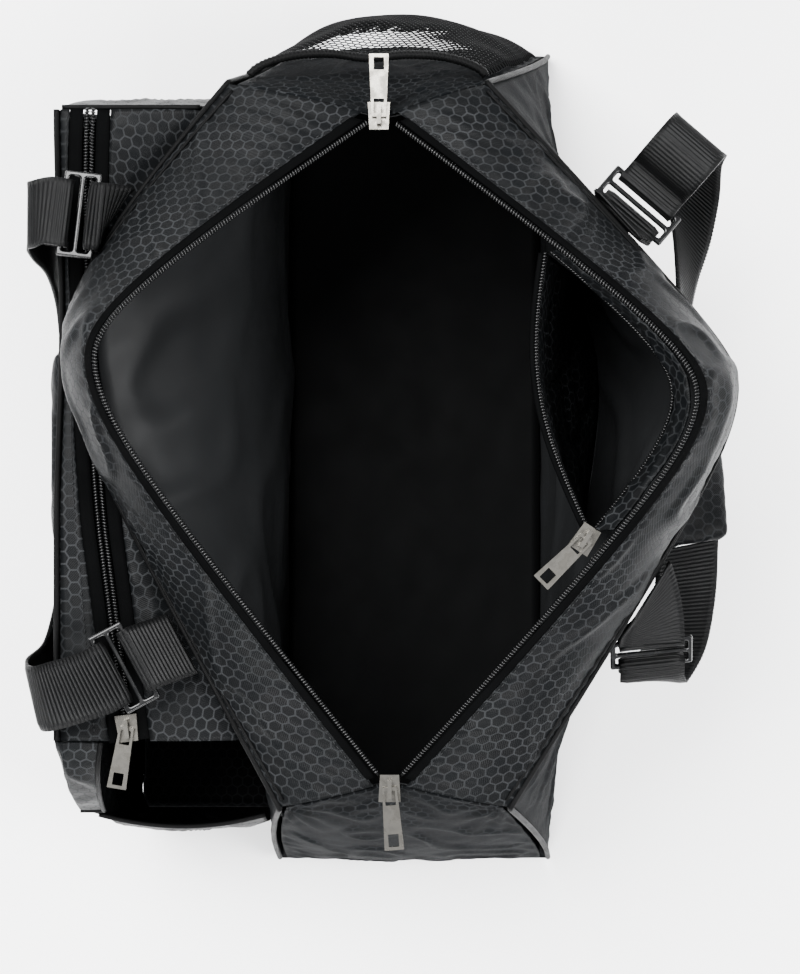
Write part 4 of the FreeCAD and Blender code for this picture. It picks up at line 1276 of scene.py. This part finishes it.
@dataclass(frozen=True)
class RacketForm:
    """The long racket pocket on the left side."""

    base: float = 154
    top_out: float = 174
    far_base: float = 195
    far_top: float = 168
    near_base: float = 200
    near_rim: float = 186
    near_top: float = 156
    rim_height: float = 118
    height: float = 188
    dip: float = 17
    bulge: float = 5
    zip_far: float = 158
    zip_mid: float = 160
    zip_near: float = 139
    zip_bend: float = 152
    bend_along: float = -40
    near_along: float = -140
    floor: float = 3.4
    half_zip: float = 10.0

    def zip_point(self, share: float) -> Vector:
        """Centre line of the zip.

        Args:
            share: 0 at the far end, 1 at the near one.
        Returns:
            The point.
        """
        far = self.far_top - 2
        bend_share = 0.69
        if share <= bend_share:
            local = share / bend_share
            ends = self.zip_far + (self.zip_bend - self.zip_far) * local
            rise = self.zip_mid - (self.zip_far + self.zip_bend) / 2
            out = ends + rise * math.sin(math.pi * local)
            drop = self.dip * math.sin(math.pi * local) ** 2
            along = far + (self.bend_along - far) * local
            return Vector((-out, along, self.height - drop))
        local = (share - bend_share) / (1 - bend_share)
        start = Vector((-self.zip_bend, self.bend_along, self.height))
        return start.lerp(Vector((-self.zip_near, self.near_along, self.height)), local)

    def outer(self, u: float, v: float) -> Vector:
        """Outer wall.

        Args:
            u: Share from the far end to the near one.
            v: Level from the base to the top edge.
        Returns:
            The point.
        """
        point = self.zip_point(u)
        share = (self.far_top - point.y) / (self.far_top + self.near_top)
        foot_along = self.far_base - share * (self.far_base + self.near_base)
        foot = Vector((-self.base, foot_along, self.floor))
        top = Vector((-self.top_out, point.y, point.z - 3))
        return foot.lerp(top, v) - Vector((self.bulge * 4 * v * (1 - v), 0, 0))

    def strip(self, u: float, v: float) -> Vector:
        """Narrow strip from the top edge to the zip tape.

        Args:
            u: Share from the far end to the near one.
            v: 0 at the top edge, 1 at the tape.
        Returns:
            The point.
        """
        point = self.zip_point(u)
        start = -self.top_out + 1.5
        out = start + (point.x - self.half_zip - start) * v
        return Vector((out, point.y, point.z - 0.8 * (1 - v) + 1.5 * v * (1 - v)))

    def gusset(self, u: float, v: float) -> Vector:
        """Top gusset from the main bag to the tape.

        Args:
            u: Share from the far end to the near one.
            v: 0 at the main bag, 1 at the tape.
        Returns:
            The point.
        """
        point = self.zip_point(u)
        drop = (self.height - point.z) / self.dip
        level = 0.955 + (0.72 - 0.955) * drop
        root = LEFT.wall(LEFT.share_at(point.y, level), level)
        root = Vector((root.x - 2, point.y, root.z))
        start = point + Vector((self.half_zip, 0, 0))
        crown = 2 * (1 - drop) * 4 * v * (1 - v)
        return root.lerp(start, v) + UP * crown

    def end_far(self, u: float, v: float) -> Vector:
        """Far end panel.

        Args:
            u: 0 at the outer edge, 1 at the main bag.
            v: Level.
        Returns:
            The point.
        """
        height = self.floor + v * (self.height - self.floor - 3.2)
        along = self.far_base + v * (self.far_top - self.far_base)
        share = height / LEFT.height
        inner = LEFT.wall(LEFT.share_at(along, share), share).x - 3
        bulge = self.bulge * 4 * v * (1 - v)
        outer = -self.base - v * (self.top_out - self.base) + 3 - bulge * 0.8
        return Vector((outer + (inner - outer) * u, along + bulge, height))

    def end_near(self, u: float, v: float) -> Vector:
        """Near end panel up to the open rim.

        Args:
            u: 0 at the outer edge, 1 at the main bag.
            v: Level.
        Returns:
            The point.
        """
        height = self.floor + v * (self.rim_height - self.floor)
        along = -self.near_base + v * (self.near_base - self.near_rim)
        share = height / LEFT.height
        inner = LEFT.wall(LEFT.share_at(along, share), share).x - 3
        outer = -self.base - share * (self.top_out - self.base) + 3
        swell = v * 4 * u * (1 - u)
        bulge = self.bulge * 4 * v * (1 - v)
        return Vector((outer + (inner - outer) * u, along - bulge - 7 * swell, height - 6 * swell))

    def flap(self, u: float, v: float) -> Vector:
        """Outer half of the unzipped near end.

        Args:
            u: Share across, from the outer edge.
            v: Share down the slope.
        Returns:
            The point.
        """
        top = self.zip_point(1)
        start = -top.y + 0.8
        along = -start - v * (self.near_rim - start - 3)
        drop = (top.z - self.rim_height - 6) * v ** 2
        outer = -self.top_out + 2
        inner = top.x - 14 - v * (top.x + self.zip_bend - 6)
        return Vector((outer + (inner - outer) * u, along, top.z - drop))


    def gore(self, u: float, v: float) -> Vector:
        """Side of the open near end, from the outer wall to the end panel.

        Args:
            u: 0 at the outer wall, 1 at the end panel.
            v: Level.
        Returns:
            The point.
        """
        rim = (self.rim_height - self.floor) / (self.height - self.floor)
        if v < rim:
            end = self.end_near(0, v / rim)
        else:
            end = self.flap(0, 1 - (v - rim) / (1 - rim))
        swell = -2.5 * 4 * u * (1 - u)
        return self.outer(1, v).lerp(end, u) + Vector((swell, 0, 0))


@dataclass
class RacketCompartment:
    """Panels, binding and zip of the racket pocket."""

    palette: Palette
    form: RacketForm = RacketForm()

    def build(self) -> None:
        """Make every piece."""
        form = self.form
        plans = (
            ("racket_outer_wall", form.outer, Vector((-1, 0, 0)), 120, 50, 2.4),
            ("racket_top_strip", form.strip, UP, 140, 6, 0.5),
            ("racket_top_gusset", form.gusset, UP, 140, 16, 1.4),
            ("racket_end_far", form.end_far, Vector((0, 1, 0)), 30, 50, 1.4),
            ("racket_end_near", form.end_near, Vector((0, -1, 0)), 40, 40, 1.6),
            ("racket_flap_outer", form.flap, Vector((0, -0.4, 1)), 24, 40, 1.2),
        )
        for seed, (node, surface, outward, columns, rows, dent) in enumerate(plans):
            creases = Creases(20 + seed * 3.7, dent=dent, dent_size=44, fold=dent * 0.8,
                              fold_size=30, pucker=dent * 0.3, border=0.12)
            panel = Panel("cloth_" + node, surface, outward, columns, rows, relief=creases.height)
            add_panel(panel, self.palette.hex, Body.BAG, Slot.HEX, [node])
        side = Panel("cloth_racket_gore", form.gore, Vector((-1, 0, 0)), 24, 50,
                     relief=Creases(47, dent=1.0, fold=0.8, border=0.15).height)
        add_panel(side, self.palette.hex, Body.BAG, Slot.HEX, [])
        self.edges()
        self.zip()

    def edges(self) -> None:
        """Bound edges: the long top hem, the open rim and the flap."""
        form = self.form
        top = [form.outer(share, 1) + Vector((-0.6, 0, 1.6)) for share in steps(0, 1, 140)]
        hem = add_tube("racket_edge_bead", top, 1.5, self.palette.piping)
        place_piece(hem, Body.BAG, Slot.PIPING, "racket_piping")
        for name, line in (
                ("far", [Vector((x, 167.3, 185.6)) for x in steps(-172, -105, 30)]),
                ("rim", [form.end_near(u, 1) + UP * 0.4 for u in steps(0, 1, 40)]),
                ("flap_inner", [form.flap(1, v) for v in steps(0, 1, 40)]),
                ("flap_end", [form.flap(u, 1) for u in steps(0, 1, 20)])):
            bead = add_tube("racket_binding_" + name, line, 1.3, self.palette.piping)
            place_piece(bead, Body.BAG, Slot.PIPING)
        sewn = [form.strip(share, 0.72) + UP * 0.5 for share in steps(0.01, 0.99, 140)]
        add_stitches("stitch_racket", sewn, UP, Body.BAG, self.palette)

    def zip(self) -> None:
        """Tapes and closed teeth."""
        line = [self.form.zip_point(share) for share in steps(0, 1, 120)]
        ways = ways_along(line)
        level = [Vector((way.y, -way.x, 0)).normalized() for way in ways]
        for word, sign in (("outer", 1), ("inner", -1)):
            across = [way * sign for way in level]

            def surface(u: float, v: float, across=across) -> Vector:
                index = min(int(u * (len(line) - 1) + 0.5), len(line) - 1)
                return line[index] + across[index] * (3.3 + 6.4 * v) + UP * 0.45

            tape = Panel("tape_racket_" + word, surface, UP, 119, 3, thickness=0.8)
            add_panel(tape, self.palette.tape, Body.BAG, Slot.TAPE, ["racket_tape_" + word])
            add_teeth("teeth_racket_" + word, line, across, 1.45, self.palette, Body.BAG,
                      "racket_coil_" + word)


# ---------------------------------------------------------------- pockets


@dataclass
class MeshPocket:
    """Net pocket on the far end with an elastic binding."""

    palette: Palette
    low: float = 22
    high: float = 176
    depth_low: float = 11
    depth_high: float = 19
    belly: float = 5
    cell: float = 4.4
    yarn: float = 0.75

    def surface(self, u: float, v: float) -> Vector:
        """Net surface.

        Args:
            u: Share across.
            v: Share up.
        Returns:
            The point.
        """
        height = self.low + (self.high - self.low) * v
        level = height / LEFT.height
        first, last = FAR_END.point(0.0, level), FAR_END.point(1.0, level)
        spot = first.lerp(last, 0.015 + 0.97 * u)
        wall = FAR_END.point(u, level).y
        depth = self.depth_low + level * (self.depth_high - self.depth_low)
        depth += self.belly * math.sin(math.pi * v)
        out = 1.5 + depth * math.sin(math.pi * min(max(u, 0.001), 0.999)) ** 0.6
        return Vector((spot.x, wall + out, height))

    def build(self) -> None:
        """Make the net and its binding."""
        width = (self.surface(1, 0.5) - self.surface(0, 0.5)).length + 30
        tall = self.high - self.low
        columns = int(width / self.cell)
        rows = int(tall / (self.cell * 0.62))
        bm = bmesh.new()
        known = {}

        def corner(x: float, y: float) -> bmesh.types.BMVert:
            key = (round(x, 3), round(y, 3))
            if key not in known:
                u, v = min(max(x, 0), 1), min(max(y, 0), 1)
                sag = noise.noise(Vector((u * 5, v * 5, 1.7))) * 2.0
                known[key] = bm.verts.new((self.surface(u, v) + Vector((0, sag, 0))) * MM)
            return known[key]

        dx, dy = 1 / columns, 1 / rows
        for row in range(rows - 1):
            for column in range(columns):
                middle_x = (column + 0.5 * (row % 2)) * dx
                middle_y = (row + 0.7) * dy
                ring = [
                    corner(middle_x, middle_y + dy * 0.66),
                    corner(middle_x - dx / 2, middle_y + dy * 0.34),
                    corner(middle_x - dx / 2, middle_y - dy * 0.34),
                    corner(middle_x, middle_y - dy * 0.66),
                    corner(middle_x + dx / 2, middle_y - dy * 0.34),
                    corner(middle_x + dx / 2, middle_y + dy * 0.34),
                ]
                if len(set(ring)) == 6:
                    bm.faces.new(ring)
        piece = finish_piece(bm, "net", self.palette.net)
        yarn = piece.modifiers.new("yarn", "WIREFRAME")
        yarn.thickness = self.yarn * MM
        yarn.use_even_offset = False
        place_piece(piece, Body.BAG, Slot.NET, "mesh_panel")
        rim = [self.surface(u, 1) + UP * 1.4 for u in steps(0, 1, 200)]
        binding = add_tube(
            "net_binding", rim, 2.2, self.palette.piping, 10,
            swell=lambda share: 1 + 0.10 * math.sin(share * 2 * math.pi * 60))
        place_piece(binding, Body.BAG, Slot.PIPING, "mesh_binding")


@dataclass
class InnerPocket:
    """Zipped pocket inside the right wall, standing open."""

    palette: Palette
    first: float = 0.2
    last: float = 0.6

    def lip(self, place: float, inner: bool) -> Vector:
        """Edge of the open pocket.

        Args:
            place: Share along the lip.
            inner: Whether it is the lip towards the middle of the bag.
        Returns:
            The point.
        """
        if inner:
            start, end = self.lip(0, False), self.lip(1, False)
            bow = math.sin(math.pi * place)
            return start.lerp(end, place) + Vector((-34 * 0.35 * bow, 0, -12 * bow))
        share = self.first + (self.last - self.first) * place
        drop = 14 + 12 * math.sin(math.pi * place)
        return RIGHT.mouth(share) + Vector((-(8 + 6 * place), 0, -drop))

    def facing(self, u: float, v: float) -> Vector:
        """Strip from the mouth zip to the pocket zip.

        Args:
            u: Share along.
            v: 0 at the lip, 1 at the mouth.
        Returns:
            The point.
        """
        share = self.first + (self.last - self.first) * u
        top = RIGHT.mouth(share) + Vector((-4.8, 0, -2.6))
        return (self.lip(u, False) + Vector((1.5, 0, 4))).lerp(top, v)

    def front(self, u: float, v: float) -> Vector:
        """Pocket front hanging from the inner lip.

        Args:
            u: Share along.
            v: 0 at the foot, 1 at the lip.
        Returns:
            The point.
        """
        lip = self.lip(u, True) + Vector((-1, 0, -2.5))
        level = 92 / RIGHT.height
        foot = RIGHT.wall(RIGHT.share_at(lip.y, level), level)
        foot = Vector((foot.x - 7, lip.y, 92))
        sag = Vector((-6 * math.sin(math.pi * u) * 4 * v * (1 - v), 0, 0))
        return foot.lerp(lip, v) + sag

    def build(self) -> None:
        """Make the pocket."""
        crumple = Creases(31, dent=1.4, dent_size=30, fold=1.6, fold_size=20, pucker=0.4)
        facing = Panel("cloth_inner_facing", self.facing, Vector((-1, 0, 0.6)), 60, 10,
                       relief=crumple.height)
        add_panel(facing, self.palette.hex, Body.BAG, Slot.HEX, ["inner_facing"])
        loose = Creases(37, dent=2.2, dent_size=40, fold=2.4, fold_size=26, pucker=0.6)
        front = Panel("cloth_inner_front", self.front, Vector((-1, 0, 0)), 60, 30,
                      thickness=0.8, relief=loose.height)
        add_panel(front, self.palette.hex, Body.BAG, Slot.HEX, ["inner_pocket_panel"])
        for word, inner, sign in (("outer", False, 1), ("inner", True, -1)):
            line = [self.lip(place, inner) for place in steps(0, 1, 60)]
            across = [Vector((sign, 0, 0))] * len(line)
            add_teeth("teeth_inner_" + word, line, across, 1.6, self.palette, Body.BAG,
                      "inner_coil_" + word)
            tape = add_tube("tape_inner_" + word,
                            [point + Vector((sign * 3.6, 0, -0.4)) for point in line],
                            1.3, self.palette.tape, 8)
            place_piece(tape, Body.BAG, Slot.TAPE)


# ---------------------------------------------------------------- straps


@dataclass(frozen=True)
class SlidePlace:
    """Where a wire slide sits, as the frame of its two bars."""

    centre: Vector
    across: Vector
    outward: Vector
    lift: Vector

    @staticmethod
    def of(word: str, centre: Vector, across: Vector, pitch: float) -> "SlidePlace":
        """Frame of a slide from its plan direction and pitch.

        Args:
            word: Name of the strap end.
            centre: Middle of the slide.
            across: Direction of its bars.
            pitch: Degrees below level.
        Returns:
            The frame.
        """
        sign = -1 if word.startswith("left") else 1
        across = across.normalized()
        outward = across.cross(UP).normalized()
        if outward.x * sign < 0:
            outward = outward * -1
        if word == "right_near" and outward.y > 0:
            outward = outward * -1
        angle = math.radians(pitch)
        lift = outward * math.sin(angle) + UP * math.cos(angle)
        return SlidePlace(centre, across, outward * math.cos(angle) - UP * math.sin(angle), lift)

    def spot(self, out: float, up: float) -> Vector:
        """A place beside the slide.

        Args:
            out: Distance outward.
            up: Distance up.
        Returns:
            The point.
        """
        return self.centre + self.outward * out + self.lift * up


SLIDES = {
    "left_far": SlidePlace.of("left_far", Vector((-161.3, 113.1, 202)), Vector((0.12, 0.99, 0)), 0),
    "left_near": SlidePlace.of(
        "left_near", Vector((-139.6, -103.1, 204)), Vector((0.47, -0.88, 0)), 0),
    "right_far": SlidePlace.of(
        "right_far", Vector((108, 119.9, 183)), Vector((0.76, -0.65, 0)), 12),
    "right_near": SlidePlace.of(
        "right_near", Vector((117, -99.2, 159)), Vector((0.98, 0.1, 0)), 40),
}


@dataclass
class Strap:
    """One shoulder strap: tabs, webbing runs and padded middle."""

    palette: Palette
    word: str
    side: SideForm
    body: Body
    roots: tuple[float, float]
    runs: dict[str, tuple[tuple[Vector, Vector], ...]]
    width: float = 32
    thickness: float = 1.6
    rib: float = 2.0
    rib_height: float = 0.28

    def build(self) -> None:
        """Make the strap."""
        for end, root in zip(("far", "near"), self.roots):
            name = "%s_%s" % (self.word, end)
            slide = SLIDES[name]
            self.ribbon("tab_" + name, *self.tab_line(slide, root),
                        node="strap_tab_" + name)
            self.ribbon("webbing_" + name, *self.webbing_line(name, slide),
                        node="strap_webbing_" + name)
        self.pad()

    def loop(self, sign: int, tail: float) -> list[tuple[float, float]]:
        """Webbing folded round a bar, in the slide's frame.

        Args:
            sign: -1 for the inner bar, 1 for the outer one.
            tail: Length past the slide.
        Returns:
            Outward and upward distances.
        """
        wire = 1.3 + 0.3 + self.thickness
        bar = sign * 7.7
        inside = bar - sign * wire
        end = sign * (9 + tail)
        half, near_bar = wire * 0.72, bar - sign * wire * 0.72
        return [(end, -wire), (bar, -wire), (near_bar, -half), (inside, 0),
                (near_bar, half), (bar, wire), (end, wire)]

    def tab_line(self, slide: SlidePlace, root: float) -> tuple[list[Vector], list[Vector]]:
        """Line of a sewn tab round its bar.

        Args:
            slide: Its slide.
            root: Sewn place along the seam.
        Returns:
            Points and directions across the webbing.
        """
        share = self.side.share_at(root, 1)
        way = (self.side.seam(share - 0.01) - self.side.seam(share + 0.01)).normalized()
        outward = way.cross(UP).normalized()
        outward = outward if outward.x * self.side.sign > 0 else outward * -1
        start = self.side.seam(share) + outward * TAB_ROOT_OUT
        across = slide.across
        way = way if way.dot(across) > 0 else way * -1
        looped = [slide.spot(*place) for place in self.loop(-1, 2)]
        points = [start - UP * TAB_ROOT_SPLIT] + looped + [start + UP * TAB_ROOT_SPLIT]
        return points, [way] + [across] * (len(points) - 2) + [way]

    def webbing_line(self, name: str, slide: SlidePlace) -> tuple[list[Vector], list[Vector]]:
        """Line of a strap run from its bar to the pad.

        Args:
            name: Name of the strap end.
            slide: Its slide.
        Returns:
            Points and directions across the webbing.
        """
        points = [slide.spot(*p) for p in self.loop(1, 6)]
        acrosses = [slide.across] * len(points)
        for point, across in self.runs[name]:
            flipped = across if across.dot(acrosses[-1]) > 0 else across * -1
            points.append(point)
            acrosses.append(flipped.normalized())
        return points, acrosses

    def ribbon(self, name: str, points: list[Vector], acrosses: list[Vector],
               node: str) -> bpy.types.Object:
        """Ribbed webbing through points.

        Args:
            name: Name of the piece.
            points: Its outer face's middle line.
            acrosses: Directions across it.
            node: Node that it stands for.
        Returns:
            The object.
        """
        count = 40 * (len(points) - 1)
        rough = [curve_point(points, share) for share in steps(0, 1, count + 1)]
        total = sum((b - a).length for a, b in zip(rough, rough[1:]))
        rows = int(total / 0.5)
        lengths = [0.0]
        for a, b in zip(rough, rough[1:]):
            lengths.append(lengths[-1] + (b - a).length)

        def share_of(distance: float, start: int) -> tuple[float, int]:
            while start + 1 < len(lengths) - 1 and lengths[start + 1] < distance:
                start += 1
            span = max(lengths[start + 1] - lengths[start], 1e-9)
            return (start + (distance - lengths[start]) / span) / count, start

        line, sides, place = [], [], 0
        for row in range(rows + 1):
            share, place = share_of(total * row / rows, place)
            line.append(curve_point(points, share))
            sides.append(curve_point(acrosses, share).normalized())
        ways = ways_along(line)
        columns = 10
        bm = bmesh.new()
        bmesh.ops.create_grid(bm, x_segments=columns, y_segments=rows, size=0.5)
        layer = bm.loops.layers.uv.new("cloth")
        flat = {}
        for vertex in bm.verts:
            across = vertex.co.x
            row = round((vertex.co.y + 0.5) * rows)
            normal = ways[row].cross(sides[row]).normalized()
            edge = smooth((0.5 - abs(across)) / 0.06)
            rib = math.cos(2 * math.pi * total * row / rows / self.rib) * self.rib_height * edge
            crown = -0.5 * (1 - edge)
            spot = line[row] + sides[row] * (across * self.width) + normal * (rib + crown - 0.3)
            flat[vertex] = (across * self.width * MM, total * row / rows * MM)
            vertex.co = spot * MM
        for face in bm.faces:
            for loop in face.loops:
                loop[layer].uv = flat[loop.vert]
        piece = finish_piece(bm, "cloth_" + name, self.palette.webbing)
        solid = piece.modifiers.new("weave", "SOLIDIFY")
        solid.thickness = self.thickness * MM * 0.9
        solid.offset = -1
        place_piece(piece, self.body, Slot.WEBBING, node)
        return piece

    def pad(self) -> bpy.types.Object:
        """Stuffed middle of the strap, swollen by a cloth simulation.

        Returns:
            The object.
        """
        node = "strap_pad_" + self.word
        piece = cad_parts[node].copy()
        piece.data = piece.data.copy()
        piece.name = "padding_" + self.word
        piece.parent = None
        bpy.context.scene.collection.objects.link(piece)
        piece.hide_render = piece.hide_viewport = False
        bm = bmesh.new()
        bm.from_mesh(piece.data)
        middle = sum((v.co for v in bm.verts), Vector()) / len(bm.verts)
        for vertex in bm.verts:
            vertex.co = middle + (vertex.co - middle) * 0.985
        bm.to_mesh(piece.data)
        bm.free()
        piece.data.materials.clear()
        piece.data.materials.append(self.palette.hex)
        swell_piece(piece, 0.004, 3.0)
        box_places(piece)
        place_piece(piece, self.body, Slot.HEX, node)
        return piece


def swell_piece(piece: bpy.types.Object, voxel: float, pressure: float) -> None:
    """Remesh a closed piece and let a cloth simulation fill it.

    Args:
        piece: The closed piece, changed in place.
        voxel: Remesh size, in metres.
        pressure: Inner pressure.
    """
    bpy.context.view_layer.objects.active = piece
    remesh = piece.modifiers.new("even", "REMESH")
    remesh.mode = "VOXEL"
    remesh.voxel_size = voxel
    bpy.context.view_layer.update()
    graph = bpy.context.evaluated_depsgraph_get()
    even = bpy.data.meshes.new_from_object(piece.evaluated_get(graph))
    piece.modifiers.clear()
    piece.data = even
    cloth = piece.modifiers.new("filling", "CLOTH")
    cloth.settings.use_pressure = True
    cloth.settings.uniform_pressure_force = pressure
    cloth.settings.effector_weights.gravity = 0
    cloth.settings.tension_stiffness = 40
    cloth.settings.mass = 0.3
    cloth.collision_settings.use_collision = False
    scene = bpy.context.scene
    scene.frame_start, scene.frame_end = 1, 12
    for number in range(1, 13):
        scene.frame_set(number)
    graph = bpy.context.evaluated_depsgraph_get()
    swollen = bpy.data.meshes.new_from_object(piece.evaluated_get(graph))
    piece.modifiers.clear()
    for vertex, start in zip(swollen.vertices, even.vertices):
        move = vertex.co - start.co
        if move.length > SWELL_LIMIT:
            vertex.co = start.co + move.normalized() * SWELL_LIMIT
    piece.data = swollen
    scene.frame_set(1)
    for polygon in piece.data.polygons:
        polygon.use_smooth = True
    finer = piece.modifiers.new("soft", "SUBSURF")
    finer.levels = finer.render_levels = 1


SWELL_LIMIT = 0.003


def box_places(piece: bpy.types.Object) -> None:
    """Flat cloth places on a closed piece, along its longest horizontal run.

    Args:
        piece: The piece, changed in place.
    """
    mesh = piece.data
    layer = mesh.uv_layers.new(name="cloth")
    for polygon in mesh.polygons:
        normal = polygon.normal
        for index in polygon.loop_indices:
            co = mesh.vertices[mesh.loops[index].vertex_index].co
            if abs(normal.x) > abs(normal.z):
                layer.data[index].uv = (co.y, co.z)
            else:
                layer.data[index].uv = (co.y, co.x)


def run(*rows: tuple[float, float, float, float, float, float],
        ) -> tuple[tuple[Vector, Vector], ...]:
    """Points of a strap run.

    Args:
        rows: Place and direction across, per point.
    Returns:
        Pairs of vectors.
    """
    return tuple((Vector(row[:3]), Vector(row[3:])) for row in rows)


LEFT_RUNS = {
    "left_far": run(
        (-183, 113.5, 202, 0, 1, 0), (-187, 113.1, 194, 0, 1, -0.05),
        (-186.5, 109.4, 178, 0, 0.97, -0.2), (-182.6, 101.5, 155, 0, 0.86, -0.5),
        (-181.6, 84.4, 127, 0, 0.6, -0.8), (-182.4, 58.7, 104, 0, 0.25, -0.97)),
    "left_near": run(
        (-168, -115.1, 204, -0.38, 0.92, 0), (-181, -118.6, 198, -0.2, 0.96, 0.1),
        (-186, -116.3, 183, -0.2, 0.96, 0.1), (-183, -107.2, 157, -0.05, 0.86, 0.5),
        (-182, -82.1, 127, 0, 0.6, 0.8), (-182.4, -54.2, 104, 0, 0.25, 0.97)),
}
RIGHT_RUNS = {
    "right_far": run(
        (121, 135, 193, 0.76, -0.65, 0), (128, 143, 199, 0.76, -0.65, 0),
        (135, 151, 195, 0.76, -0.65, 0), (138.5, 154, 183, 0.76, -0.65, 0),
        (138, 150, 170, 0.76, -0.65, 0), (139, 137, 156, 0.76, -0.65, 0),
        (138, 118.6, 145, 0.7, -0.6, -0.3), (138, 95.8, 129, 0.45, -0.5, -0.75),
        (139, 69, 110, 0.25, -0.2, -0.95)),
    "right_near": run(
        (122, -111.7, 141, 0.98, -0.17, 0), (132, -98, 131, 0.99, 0, 0.1),
        (138, -73, 125, 0.98, 0.1, 0), (140, -47.4, 123, 0.98, 0.18, -0.1)),
}


# ---------------------------------------------------------------- hardware and stage


@dataclass
class Hardware:
    """Metal and board pieces carried over from the frame."""

    palette: Palette

    def build(self) -> None:
        """Give each carried-over node its finish."""
        for name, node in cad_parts.items():
            if name.endswith(("_slider", "_puller")):
                self.dress(node, self.palette.nickel)
            elif name.startswith("strap_slide_"):
                self.dress(node, self.palette.wire)
            elif name == "base_board":
                self.dress(node, self.palette.board)

    def dress(self, node: bpy.types.Object, material: bpy.types.Material) -> None:
        """Set a node's finish.

        Args:
            node: The node.
            material: Its finish.
        """
        node.data.materials.clear()
        node.data.materials.append(material)


@dataclass
class Stage:
    """Floor, lights and camera."""

    height: float = 1.25
    lens: float = 81.06

    def build(self) -> None:
        """Make the stage."""
        self.floor()
        self.light("key", (-0.55, 0.6, 1.5), 1.0, 120)
        self.light("fill", (0.95, -0.2, 1.2), 0.7, 48)
        self.light("front", (-0.2, -1.2, 1.0), 0.7, 48)
        world = bpy.data.worlds.new("room")
        world.use_nodes = True
        world.node_tree.nodes["Background"].inputs[0].default_value = (0.93, 0.95, 1.0, 1)
        world.node_tree.nodes["Background"].inputs[1].default_value = 1.1
        bpy.context.scene.world = world
        self.camera()

    def floor(self) -> None:
        """Pale plain floor."""
        bm = bmesh.new()
        bmesh.ops.create_grid(bm, x_segments=2, y_segments=2, size=3)
        finish = Finish("floor_paint", grey(0.9), 0.6)
        material, graph, shader = finish.start()
        place = graph.node("ShaderNodeTexCoord").outputs["Object"]
        cloud = graph.node("ShaderNodeTexNoise", place)
        cloud.inputs["Scale"].default_value = 3
        colour = graph.blend(cloud.outputs[0], grey(0.93), grey(0.89))
        graph.feed(shader.inputs["Base Color"], colour)
        piece = finish_piece(bm, "floor", material)

    def light(self, name: str, place: tuple[float, float, float], size: float,
              power: float) -> None:
        """Soft square light aimed at the bag.

        Args:
            name: Its name.
            place: Its place.
            size: Its side, in metres.
            power: Its power.
        """
        data = bpy.data.lights.new(name, "AREA")
        data.size = size
        data.energy = power
        lamp = bpy.data.objects.new(name, data)
        lamp.location = place
        aim = Vector((0, 0, 0.1)) - Vector(place)
        lamp.rotation_euler = aim.to_track_quat("-Z", "Y").to_euler()
        bpy.context.scene.collection.objects.link(lamp)

    def camera(self) -> None:
        """Camera looking straight down."""
        data = bpy.data.cameras.new("camera")
        data.lens = self.lens
        data.sensor_width = 36
        lens = bpy.data.objects.new("camera", data)
        lens.location = (-0.008, -0.017, self.height)
        bpy.context.scene.collection.objects.link(lens)
        scene = bpy.context.scene
        scene.camera = lens
        scene.render.resolution_x, scene.render.resolution_y = 800, 974


def main() -> None:
    """Build the backpack and its stage in order."""
    logging.basicConfig(level=logging.INFO)
    palette = Palette()
    parts = (
        MainBag(palette),
        MainZip(palette),
        RacketCompartment(palette),
        MeshPocket(palette),
        InnerPocket(palette),
        Strap(palette, "left", LEFT, Body.LEFT, (111.7, -90.7), LEFT_RUNS),
        Strap(palette, "right", RIGHT, Body.RIGHT, (112.2, -65.0), RIGHT_RUNS),
        Hardware(palette),
        Stage(),
    )
    for part in parts:
        part.build()
        LOG.info("built %s", type(part).__name__)


if __name__ == "__main__":
    main()
